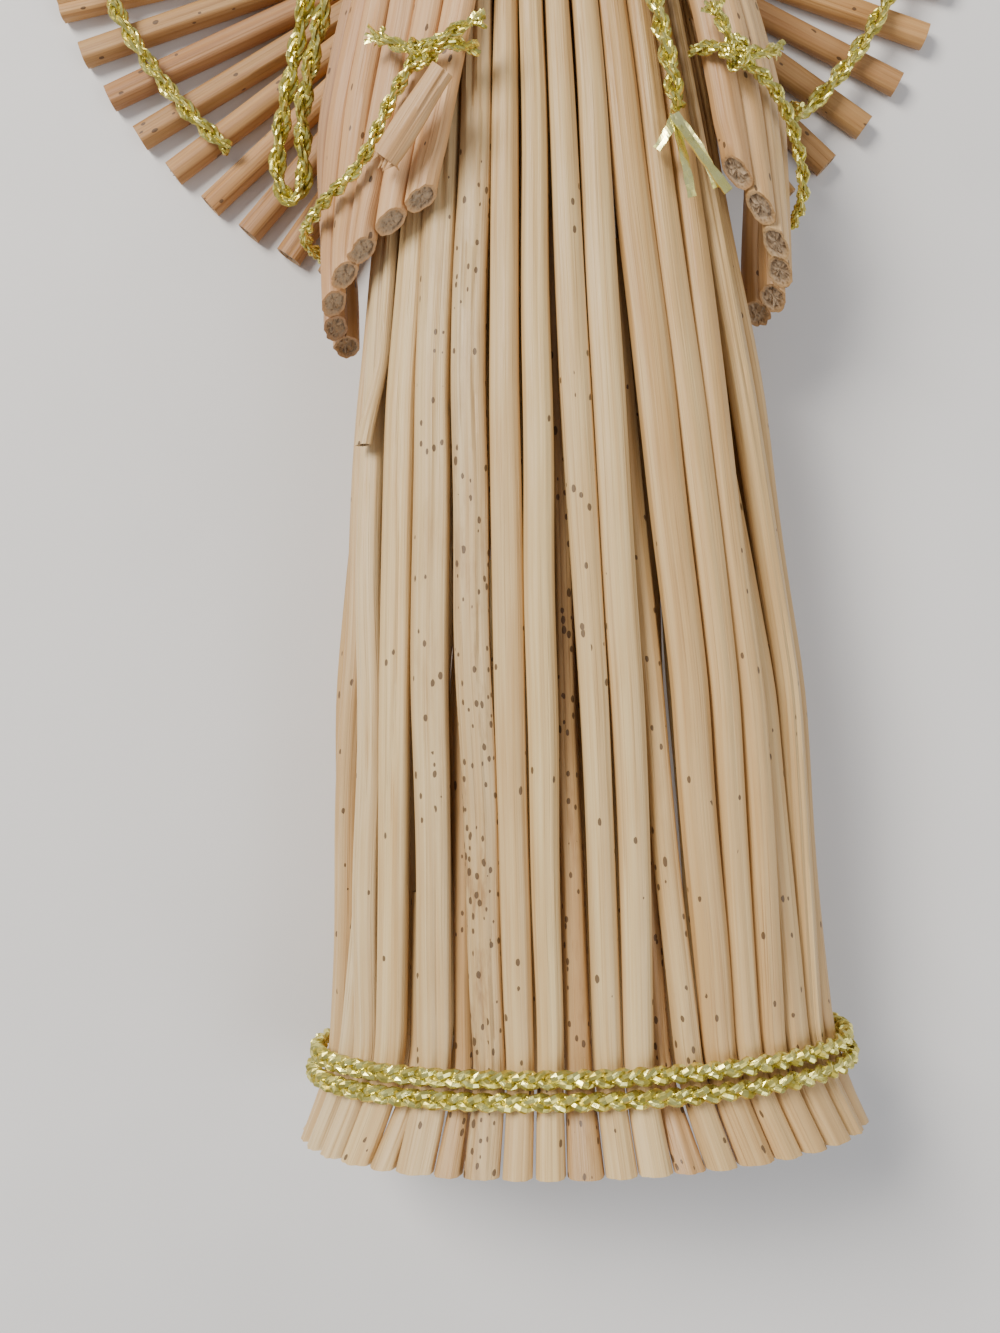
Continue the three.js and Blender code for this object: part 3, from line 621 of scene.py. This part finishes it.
def make_short_straw():
    rows = straw_stations("short_straw")
    n = 44
    y = np.linspace(rows[0, 0], rows[-1, 0], n)
    x, z, turn, width, depth = (eased(np.interp(y, rows[:, 0], rows[:, c]), 6) for c in range(1, 6))
    side = np.stack([np.cos(turn), np.zeros(n), -np.sin(turn)], axis=1)
    out = np.stack([np.sin(turn), np.zeros(n), np.cos(turn)], axis=1)
    pile = Pile()
    tint = srgb(224, 196, 146)
    centre = np.stack([x, y, z], axis=1)
    Straw(centre, side, out, width + 0.3, depth, tint, 61, FOLDED, 0.05, 28).add_to(pile)
    pile.build("short_straw_cut", "short_straw", STRAW)


make_short_straw()


# ---------------------------------------------------------------- sleeves
def sleeve_ring(y):
    _, half_depth, middle = gown_at(y)
    return at_height(SLEEVE_RING, y, 1), half_depth + at_height(SLEEVE_RING, y, 2), middle


def on_sleeve(sleeve, y, order, lift=0.0):
    arc = at_height(sleeve["start"], y, 1) + order * at_height(sleeve["pitch"], y, 1)
    return on_ring(*sleeve_ring(y), sleeve["side"] * arc, lift)


def sleeve_straw(sleeve, order, colour, creases, seed):
    point, normal = sleeve["point"], sleeve["normal"]

    def cut_height(x, z):
        return point[1] - (normal[0] * (x - point[0]) + normal[2] * (z - point[2])) / normal[1]

    low, _, _ = on_sleeve(sleeve, 88, order)
    lowest = cut_height(*low)
    n = int((NECK - lowest) / 1.2)
    y = np.linspace(lowest, NECK, n)
    places = [on_sleeve(sleeve, h, order) for h in y]
    flat = eased(np.array([place[0] for place in places]), 6)
    side = unit(eased([in_space(0, place[1]) for place in places], 6))
    out = unit(eased([in_space(0, place[2]) for place in places], 6))
    pinch = smoothstep(y, CHEST, NECK)
    width = SLEEVE_STRAW_WIDTH + (SLEEVE_NECK_WIDTH - SLEEVE_STRAW_WIDTH) * pinch + 0.25
    depth = SLEEVE_DEPTH + (NECK_STRAW_DEPTH - SLEEVE_DEPTH) * pinch
    centre = np.stack([flat[:, 0], y, flat[:, 1]], axis=1)
    reach = 1 - smoothstep(y, 125, 145)
    centre = centre + side * (wander(n, 1.2, 0.14, seed) * reach)[:, None]
    # Painted shade: the tint gets darker and warmer towards the neck.
    shade = 1 - 0.10 * smoothstep(y, 115, 140)
    tint = srgb(*colour) * np.stack([shade, shade**1.3, shade**1.7], axis=1)
    straw = Straw(centre, side, out, width, depth, tint, seed, creases, 0.10, 30)

    def slanted_cut(rings):
        """The lowest rings close up on the slanting cut."""
        share = 1 - smoothstep(rings[..., 1], lowest, lowest + 6)
        wanted = cut_height(rings[..., 0], rings[..., 2]) - lowest
        rings = rings.copy()
        rings[..., 1] += share * wanted
        return rings

    straw.flatten = slanted_cut
    return straw


SLEEVE_COLOURS = {
    "left": [(222, 178, 126), (218, 174, 124), (208, 164, 116), (214, 170, 120), (206, 160, 112),
             (186, 144, 104), (214, 174, 128)],
    "right": [(206, 164, 114), (214, 176, 124), (222, 188, 138), (214, 176, 124), (206, 166, 116),
              (198, 158, 110)],
}
for name, sleeve in SLEEVES.items():
    pile = Pile()
    for order in range(sleeve["straws"]):
        creases = (CREASED, SMOOTH, FOLDED)[order % 3]
        colour = SLEEVE_COLOURS[name][order]
        sleeve_straw(sleeve, order, colour, creases, 110 + order + 20 * (name == "right")).add_to(pile)
    pile.build(f"{name}_sleeve_straws", f"{name}_sleeve", STRAW)


# ---------------------------------------------------------------- wings
def wing_radius(wing, degrees):
    rise = min(max((degrees - wing["lowest"]) / 60, 0), 1)
    shortest, longest = wing["radii"]
    return shortest + (longest - shortest) * rise**1.25


def wing_point(wing, degrees, radius, z):
    angle = math.radians(degrees)
    x = wing["root"][0] + wing["side"] * radius * math.cos(angle)
    return np.array([x, wing["root"][1] + radius * math.sin(angle), z])


def wing_straw(wing, order, seed):
    degrees = wing["lowest"] + order * wing["step"]
    angle = math.radians(degrees)
    spread = math.radians(wing["step"])
    pitch = BUNDLE_WIDTH / wing["straws"]
    bundle_y = BUNDLE_MIDDLE[1] + (order - (wing["straws"] - 1) / 2) * pitch
    bundle_z = BUNDLE_LIFT + BUNDLE_DEPTH / 2
    whole = WING_STRAW_WIDTH / (1.08 * spread)
    tip = wing_radius(wing, degrees)
    bundled = [
        np.array([BUNDLE_MIDDLE[0] + wing["side"] * reach, bundle_y, bundle_z])
        for reach in (CLEARANCE / 2, BUNDLE_HALF_LENGTH)
    ]
    corners = np.array(
        bundled + [wing_point(wing, degrees, radius, WING_STRAW_DEPTH / 2) for radius in (whole, tip)]
    )
    runs = np.concatenate([[0], np.cumsum(np.linalg.norm(np.diff(corners, axis=0), axis=1))])
    n = int(runs[-1] / 1.6) + 2
    s = np.linspace(0, runs[-1], n)
    centre = np.stack([np.interp(s, runs, corners[:, c]) for c in range(3)], axis=1)
    centre = eased(centre, 4)
    widths = [1.1 * pitch, 1.1 * pitch, min(WING_STRAW_WIDTH, 1.08 * spread * whole), WING_STRAW_WIDTH]
    width = np.interp(s, runs, widths) * (1 + 0.03 * wander(n, 1.6, 1.0, seed))
    depth = np.interp(s, runs, [BUNDLE_DEPTH, BUNDLE_DEPTH, WING_STRAW_DEPTH, WING_STRAW_DEPTH])
    in_fan = np.array([math.sin(angle), -wing["side"] * math.cos(angle), 0])
    in_bundle = np.array([0, -wing["side"], 0])
    share = np.interp(s, runs, [0, 0, 1, 1])[:, None]
    side = unit(in_bundle * (1 - share) + in_fan * share)
    out = np.repeat(UP[None], n, axis=0)
    rng = np.random.default_rng(seed)
    colour = srgb(198, 152, 98) * rng.uniform(0.84, 1.10) * np.array([1, rng.uniform(0.95, 1.04), 1])
    creases = ((90 + rng.uniform(-28, 28), 0.16, 0.24), (40 + rng.uniform(0, 90), 0.07, 0.16))
    spots = rng.uniform(0.05, 0.25)
    return Straw(centre, side, out, width, depth, colour, seed, creases, spots, 26, 0.022)


for name, wing in WINGS.items():
    pile = Pile()
    for order in range(wing["straws"]):
        wing_straw(wing, order, 150 + order + 20 * (name == "right")).add_to(pile)
    pile.build(f"{name}_wing_straws", f"{name}_wing", WING_STRAW)


# ---------------------------------------------------------------- head
def make_head():
    """Straws bent up from the neck and over the crown, side by side all the way round. There is no face."""
    pile = Pile()
    straws = 30
    middle = gown_at(NECK)[2]
    s = np.linspace(0, 1, 34)
    profile = np.concatenate([HEAD, [[176.0, 0.4]]])
    runs = np.concatenate([[0], np.cumsum(np.hypot(*np.diff(profile, axis=0).T))])
    y = eased(np.interp(s * runs[-1], runs, profile[:, 0]), 6)
    radius = eased(np.interp(s * runs[-1], runs, profile[:, 1]), 6)
    slope = unit(np.stack([np.gradient(y), np.gradient(radius)], axis=1))
    for i in range(straws):
        turn = 2 * math.pi * i / straws
        outward = np.array([math.sin(turn), 0, math.cos(turn)])
        across = np.array([math.cos(turn), 0, -math.sin(turn)])
        width = np.minimum(2 * math.pi * radius / straws * 1.04, 2.7) + 0.25
        depth = np.full(len(s), 2.0) * smoothstep(radius, -3, 6)
        inset = depth / 2 + 0.12 * (i % 2)
        normal = slope[:, :1] * outward - slope[:, 1:] * np.array([0, 1.0, 0])
        centre = outward * radius[:, None]
        centre[:, 2] *= HEAD_FLATTENING
        centre = centre + np.stack([0 * y, y, 0 * y + middle], axis=1) - normal * inset[:, None]
        centre[:, 1] = np.minimum(centre[:, 1], 174.6)
        side = np.repeat(across[None], len(s), axis=0)
        colour = srgb(*BACK_COLOURS[(i * 3) % 5])
        creases = CREASED if i % 3 else FOLDED
        straw = Straw(centre, side, unit(normal), width, depth, colour, 210 + i, creases, 0.08, 16)
        straw.add_to(pile, "plain", "plain")
    pile.build("head_straws", "head", STRAW)


make_head()


# ---------------------------------------------------------------- cord tools
def curve_through(points, n):
    """A centripetal curve through the points, at n places spaced evenly along it."""
    p = np.array(points, float)
    p = np.concatenate([[2 * p[0] - p[1]], p, [2 * p[-1] - p[-2]]])
    found = []
    for i in range(1, len(p) - 2):
        a, b, c, d = p[i - 1 : i + 3]
        t1 = np.linalg.norm(b - a) ** 0.5
        t2 = t1 + np.linalg.norm(c - b) ** 0.5
        t3 = t2 + np.linalg.norm(d - c) ** 0.5
        for t in np.linspace(t1, t2, 24, endpoint=False):
            q1 = a + (b - a) * t / t1
            q2 = b + (c - b) * (t - t1) / (t2 - t1)
            q3 = c + (d - c) * (t - t2) / (t3 - t2)
            r1 = q1 + (q2 - q1) * t / t2
            r2 = q2 + (q3 - q2) * (t - t1) / (t3 - t1)
            found.append(r1 + (r2 - r1) * (t - t1) / (t2 - t1))
    found = np.array(found + [p[-2]])
    runs = np.concatenate([[0], np.cumsum(np.linalg.norm(np.diff(found, axis=0), axis=1))])
    s = np.linspace(0, runs[-1], n)
    return np.stack([np.interp(s, runs, found[:, c]) for c in range(3)], axis=1)


def frames_along(line, ups):
    """Sideways and outward directions at each place of a line, outward as near as it can be to ups."""
    ahead = unit(np.gradient(line, axis=0))
    side = unit(np.cross(ahead, ups))
    return side, np.cross(side, ahead)


def add_thread(pile, line, across, through, seed, sides=6, twinkle=0.22):
    """A foil-covered thread along a line. across and through are its half sizes. Its facets vary."""
    rng = np.random.default_rng(seed)
    n = len(line)
    side, out = frames_along(line, np.repeat(UP[None], n, axis=0) + 0.31)
    swell = 1 + rng.uniform(-twinkle, twinkle * 0.4, (n, 1))
    roll = rng.uniform(-0.35, 0.35, (n, 1)) + 2 * math.pi * np.arange(sides)[None] / sides
    x, z = across * swell * np.cos(roll), through * swell * np.sin(roll)
    rings = line[:, None] + x[..., None] * side[:, None] + z[..., None] * out[:, None]
    length = np.arange(n)[:, None] * 0.4
    at = np.stack([x + seed, z, np.repeat(length, sides, 1)], axis=-1)
    start = pile.add_points(rings.reshape(-1, 3), at.reshape(-1, 3))
    for i in range(n - 1):
        pile.strip(start + i * sides, start + (i + 1) * sides, sides, list(rng.uniform(0, 1, sides)))
    last = start + (n - 1) * sides
    pile.add_faces([tuple(range(start + sides - 1, start - 1, -1)), tuple(range(last, last + sides))])


def add_rope(pile, line, ups, radius, seed, pitch=7.0, plies=2, strands=3):
    """Plies of twisted threads twisted round each other."""
    side, out = frames_along(line, ups)
    s = np.concatenate([[0], np.cumsum(np.linalg.norm(np.diff(line, axis=0), axis=1))])
    ply_radius = radius * (0.54 if plies == 2 else 0.46)
    ply_reach = radius - ply_radius
    thread = ply_radius * 0.50
    for ply in range(plies):
        turn = 2 * math.pi * (s / pitch + ply / plies)
        away = np.cos(turn)[:, None] * side + np.sin(turn)[:, None] * out
        centre = line + ply_reach * away
        for strand in range(strands):
            twist = -2 * math.pi * (s / (pitch * 0.55) + strand / strands)
            spin = np.cos(twist)[:, None] * side + np.sin(twist)[:, None] * out
            place = centre + (ply_radius - thread) * spin
            add_thread(pile, place, thread, thread, seed + 10 * ply + strand)


def add_plait(pile, line, ups, half_width, half_depth, seed, pitch=5.4):
    """Three flat strands plaited: chevrons along the cord."""
    side, out = frames_along(line, ups)
    s = np.concatenate([[0], np.cumsum(np.linalg.norm(np.diff(line, axis=0), axis=1))])
    thread = half_width * 0.46
    for strand in range(3):
        turn = 2 * math.pi * (s / pitch + strand / 3)
        across = (half_width - thread) * np.sin(turn)
        lift = (half_depth - thread * 0.8) * np.sin(2 * turn)
        centre = line + across[:, None] * side + lift[:, None] * out
        add_thread(pile, centre, thread, thread * 0.8, seed + strand, 7, 0.10)


def add_knot(pile, middle, size, radius, seed, tilt=0.0):
    """A small overhand knot."""
    t = np.linspace(0, 2 * math.pi, 70)
    x = np.sin(t) + 2 * np.sin(2 * t)
    y = np.cos(t) - 2 * np.cos(2 * t)
    z = -1.4 * np.sin(3 * t)
    line = np.stack([x, y, z], axis=1) * size / 3
    c, n = math.cos(tilt), math.sin(tilt)
    line = line @ np.array([[c, n, 0], [-n, c, 0], [0, 0, 1]]) + middle
    add_rope(pile, line, np.repeat(UP[None], len(t), axis=0) + 0.2, radius, seed, 3.2)


def add_fray(pile, root, toward, reach, count, seed, thick=0.16):
    """Foil ends that spread from a cut end."""
    rng = np.random.default_rng(seed)
    for i in range(count):
        aim = unit(np.array(toward) + rng.normal(0, 0.34, 3))
        bend = rng.normal(0, 0.25, 3)
        s = np.linspace(0, 1, 7)[:, None]
        line = np.array(root) + aim * s * reach * rng.uniform(0.6, 1.1) + bend * s**2
        add_thread(pile, line, thick * 1.8, thick * 0.6, seed + i, 4, 0.3)


def wound_line(ring_at_height, diameter, turns):
    """Flat turns one above the other, a short step between them at the back, and the way out from each."""
    per_turn = 90
    points, ups = [], []
    for i in range(per_turn * len(turns) + 1):
        turn = min(i // per_turn, len(turns) - 1)
        part = (i - turn * per_turn) / per_turn
        step = smoothstep(part, 0.86, 1)
        y = turns[turn] + (turns[min(turn + 1, len(turns) - 1)] - turns[turn]) * step
        ring = ring_at_height(y)
        whole = 2 * ring_table(ring[0], ring[1])[1][-1]
        place, _, out = on_ring(*ring, (part - 0.43) * whole, CLEARANCE + diameter / 2)
        points.append(in_space(y, place))
        ups.append(in_space(0, out))
    return np.array(points), np.array(ups)


def evenly(points, ups, step):
    runs = np.concatenate([[0], np.cumsum(np.linalg.norm(np.diff(points, axis=0), axis=1))])
    s = np.linspace(0, runs[-1], int(runs[-1] / step) + 1)
    line = np.stack([np.interp(s, runs, points[:, c]) for c in range(3)], axis=1)
    return line, unit(np.stack([np.interp(s, runs, ups[:, c]) for c in range(3)], axis=1))


def over_sleeve(side, places):
    found = []
    for y, arc, lift in places:
        place, _, _ = on_ring(*sleeve_ring(y), side * arc, lift)
        found.append(in_space(y, place))
    return np.array(found)


def over_gown(places):
    found = []
    for y, arc, lift in places:
        place, _, _ = on_ring(*gown_at(y), arc, lift)
        found.append(in_space(y, place))
    return np.array(found)


def outward(line):
    """The way out of the gown at each point of a line that lies on it."""
    away = np.array([[x / 1.6, 0, z - 16.0] for x, _, z in line])
    return unit(away)


def rope_through(pile, points, radius, seed, ups=None, pitch=7.0, step=0.45):
    length = np.linalg.norm(np.diff(points, axis=0), axis=1).sum()
    line = curve_through(points, int(length / step) + 2)
    away = outward(line) if ups is None else np.repeat([ups], len(line), axis=0)
    add_rope(pile, line, away, radius, seed, pitch)
    return line


# ---------------------------------------------------------------- free cords
HANGING_LOOP = [
    (-12.8, 142.0, 23.6), (-16.2, 138.0, 22.2), (-19.6, 132.0, 19.8), (-22.6, 125.5, 17.4),
    (-25.0, 120.0, 14.6), (-27.2, 114.4, 11.6), (-29.1, 108.8, 9.0), (-30.0, 104.4, 7.6),
    (-29.7, 101.9, 7.2), (-28.5, 101.0, 7.1), (-27.3, 102.2, 7.4), (-26.9, 105.4, 8.6),
    (-26.6, 109.4, 10.4), (-24.6, 115.4, 13.2), (-22.6, 120.4, 15.6), (-20.4, 126.0, 17.6),
    (-17.8, 132.6, 18.6), (-15.9, 137.6, 19.2), (-14.2, 141.6, 19.6),
]
TINSEL_ROOT = np.array([11.3, 100.5, 27.2])
TINSEL_HALF_THICKNESS = 0.09
TINSEL_STEPS = 14


def make_hanging_loop():
    pile = Pile()
    line = rope_through(pile, np.array(HANGING_LOOP), LOOP_DIAMETER / 2, 500, UP, 8.0)
    piece = pile.build("hanging_loop_cord", "hanging_loop", GOLD, False)


def make_tinsel():
    """The tail's end comes apart into flat strips of foil."""
    pile = Pile()
    strips = [
        ((16.2, 92.8, 27.6), 0.50, 0.3), ((12.9, 92.8, 26.6), 0.42, 0.1),
        ((9.6, 97.4, 27.0), 0.46, 0.0), ((15.2, 93.4, 27.1), 0.40, 0.25),
    ]
    for number, (end, half, lift) in enumerate(strips):
        rng = np.random.default_rng(700 + number)
        run = np.array(end) - TINSEL_ROOT
        s = np.linspace(0, 1, TINSEL_STEPS)[:, None]
        bow = np.sin(math.pi * s) * np.array([0.25 * (number - 1), 0, 0.25])
        line = TINSEL_ROOT + np.array([0, 0, lift]) + run * s + bow
        wide = half * (1 + 0.10 * np.sin(np.arange(TINSEL_STEPS) * 1.9 + number))
        side, out = frames_along(line, np.repeat(UP[None], TINSEL_STEPS, axis=0))
        tilt = 0.5 * np.sin(s * 3 + number)
        flat = side * np.cos(tilt) + out * np.sin(tilt)
        thin = np.cross(flat, unit(np.gradient(line, axis=0)))
        corners = [(-1, -1), (0, -1.3), (1, -1), (1, 1), (0, 1.3), (-1, 1)]
        edges = [line + flat * (wide * a)[:, None] + thin * TINSEL_HALF_THICKNESS * b for a, b in corners]
        rings = np.stack(edges, axis=1)
        at = np.stack([rings[..., 0] + number * 9, rings[..., 2], rings[..., 1]], axis=-1)
        start = pile.add_points(rings.reshape(-1, 3), at.reshape(-1, 3))
        k = len(corners)
        for i in range(TINSEL_STEPS - 1):
            pile.strip(start + i * k, start + (i + 1) * k, k, list(rng.uniform(0.5, 1, k)))
        last = start + (TINSEL_STEPS - 1) * k
        pile.add_faces([tuple(range(start + k - 1, start - 1, -1)), tuple(range(last, last + k))])
    return pile.build("tail_tinsel_strips", "tail_tinsel", TINSEL, False)


def make_front_tail(tinsel):
    lift = CLEARANCE + TAIL_DIAMETER / 2
    places = [(141, 3.9, lift), (135, 5.0, lift), (128, 6.4, lift), (119, 8.2, lift),
              (110.5, 9.9, lift + 0.2), (105.5, 10.6, lift + 0.5), (101.2, 11.2, lift + 0.6)]
    pile = Pile()
    line = rope_through(pile, over_gown(places), TAIL_DIAMETER / 2, 540, None, 6.0)
    piece = pile.build("front_tail_cord", "front_tail", GOLD, False)


make_hanging_loop()
make_front_tail(make_tinsel())


# ---------------------------------------------------------------- bound cords
def make_hem_cord():
    diameter, turns = HEM_CORD
    line, ups = evenly(*wound_line(gown_at, diameter, turns), 0.40)
    pile = Pile()
    add_plait(pile, line, ups, diameter / 2, diameter / 2 * 0.8, 560)
    pile.build("hem_cord_plait", "hem_cord", GOLD, False)


def neck_ring(y):
    _, half_depth, middle = gown_at(y)
    outside = SLEEVE_DEPTH / 2
    stand_off = at_height(SLEEVE_RING, y, 2)
    return at_height(SLEEVE_RING, y, 1) + outside, half_depth + stand_off + outside, middle


def make_neck_tie():
    diameter, turns = NECK_CORD
    line, ups = evenly(*wound_line(neck_ring, diameter, turns), 0.45)
    pile = Pile()
    add_rope(pile, line, ups, diameter / 2, 580, 5.0)
    pile.build("neck_tie_cord", "neck_tie", GOLD, False)


def make_wing_tie():
    half_width = BUNDLE_WIDTH / 2 + CLEARANCE + TIE_DIAMETER / 2 + 1.2
    half_depth = BUNDLE_DEPTH / 2 + CLEARANCE + TIE_DIAMETER / 2
    points = []
    for i in range(121):
        angle = i / 120 * 4 * math.pi
        c, n = math.cos(angle), math.sin(angle)
        x = BUNDLE_MIDDLE[0] + TIE_DIAMETER * 1.1 * (i / 60 - 1)
        y = BUNDLE_MIDDLE[1] + half_width * math.copysign(abs(n) ** 0.6, n)
        z = BUNDLE_LIFT + BUNDLE_DEPTH / 2 + half_depth * math.copysign(abs(c) ** 0.6, c)
        points.append((x, y, z))
    points = np.array(points)
    line, ups = evenly(points, np.repeat([[1.0, 0, 0]], len(points), axis=0), 0.45)
    pile = Pile()
    add_rope(pile, line, ups, TIE_DIAMETER / 2, 590, 5.0)
    pile.build("wing_tie_cord", "wing_tie", GOLD, False)


# The route of each cord over its sleeve, as height, distance round it and lift, then where its knot lies
# and the ends that leave the knot.
SLEEVE_TIES = {
    "left": {
        "cord": [(107, 7.3, 0.1), (106.6, 9.0, 2.6), (106, 12, 2.7), (103, 14.6, OVER_STRAWS),
                 (97, 18.4, OVER_STRAWS), (94.6, 23, OVER_STRAWS), (93.2, 28, OVER_STRAWS),
                 (92.6, 33.5, OVER_STRAWS)],
        "knot": (106, 12, 2.9),
        "ends": [[(107.2, 14.2, 3.6), (108, 15.4, 3.4)], [(107, 9.2, 3.7), (108, 7.2, 3.5)]],
    },
    "right": {
        "cord": [(107, 13.6, -0.2), (106.6, 15.2, 2.2), (105.6, 17.6, 2.6), (103.6, 21.4, OVER_STRAWS),
                 (99.6, 25, OVER_STRAWS), (95.6, 28, OVER_STRAWS), (93.6, 32.5, OVER_STRAWS),
                 (92.8, 36, OVER_STRAWS)],
        "knot": (106, 16.4, 2.9),
        "ends": [[(108, 15.2, 3.4), (109.2, 14.6, 3.2)], [(106.6, 19.4, 3.6), (107.4, 20.6, 3.4)]],
    },
}


def make_sleeve_ties():
    radius = TIE_DIAMETER / 2
    for name, tie in SLEEVE_TIES.items():
        side = SLEEVES[name]["side"]
        pile = Pile()
        rope_through(pile, over_sleeve(side, tie["cord"]), radius, 600, None, 4.6)
        for number, end in enumerate(tie["ends"]):
            points = over_sleeve(side, [tie["knot"], *end])
            rope_through(pile, points, radius * 0.95, 620 + number, None, 4.6)
            add_fray(pile, points[-1], unit(points[-1] - points[-2]), 1.6, 12, 640 + 20 * number)
        middle = over_sleeve(side, [tie["knot"]])[0]
        add_knot(pile, middle, 1.35, 0.55, 630, 0.4 * side)
        pile.build(f"{name}_sleeve_tie_cord", f"{name}_sleeve_tie", GOLD, False)


def lacing_route(wing, lowest):
    highest = wing["lowest"] + (wing["straws"] - 1) * wing["step"]
    height = WING_STRAW_DEPTH + CLEARANCE + LACING_DIAMETER / 2
    points = []
    degrees = highest + 2
    while degrees > lowest:
        points.append(wing_point(wing, degrees, wing_radius(wing, degrees) - LACING_INSET, height))
        degrees -= 6
    return points


def make_lacings():
    routes = {
        "left": lacing_route(WINGS["left"], -44),
        "right": [*lacing_route(WINGS["right"], -48), (27.2, 109.4, 6.5), (26.9, 106.6, 12.5)],
    }
    for name, points in routes.items():
        pile = Pile()
        rope_through(pile, np.array(points), LACING_DIAMETER / 2, 660, UP, 7.0)
        pile.build(f"{name}_wing_lacing_cord", f"{name}_wing_lacing", GOLD, False)


make_hem_cord()
make_neck_tie()
make_wing_tie()
make_sleeve_ties()
make_lacings()


# ---------------------------------------------------------------- the broken straw
def make_bent_straw():
    low, high = np.array([-16.3, 96.2, 30.0]), np.array([-10.6, 103.4, 32.2])
    n = 22
    s = np.linspace(0, 1, n)[:, None]
    centre = low + (high - low) * s
    ahead = unit(high - low)
    side = np.repeat(unit(np.cross(ahead, UP))[None], n, axis=0)
    out = np.repeat(np.cross(side[0], ahead)[None], n, axis=0)
    width = 2.5 + 0.25 * np.sin(s[:, 0] * 5)
    pile = Pile()
    tint = srgb(206, 164, 112)
    creases = ((62, 0.20, 0.18), (110, 0.08, 0.2))
    Straw(centre, side, out, width, np.full(n, 2.0), tint, 260, creases, 0.25, 30).add_to(pile)
    for i in range(7):
        rng = np.random.default_rng(800 + i)
        m = 6
        t = np.linspace(0, 1, m)[:, None]
        root = low + side[0] * rng.uniform(-1.0, 1.0) + out[0] * rng.uniform(-0.7, 0.5) + ahead * 0.3
        aim = unit(-ahead + rng.normal(0, 0.35, 3))
        line = root + aim * t * rng.uniform(1.0, 1.9)
        narrow = 0.5 * (1 - 0.8 * t[:, 0])
        along = unit(np.cross(aim, UP))
        sides, outs = (np.repeat(v[None], m, axis=0) for v in (along, np.cross(along, aim)))
        fibre = Straw(line, sides, outs, narrow, narrow * 0.4, tint * 1.05, 270 + i, (), 0.0, 8, 0.0)
        fibre.add_to(pile, "plain", "plain")
    pile.build("broken_straw", "bent_straw", STRAW)


make_bent_straw()
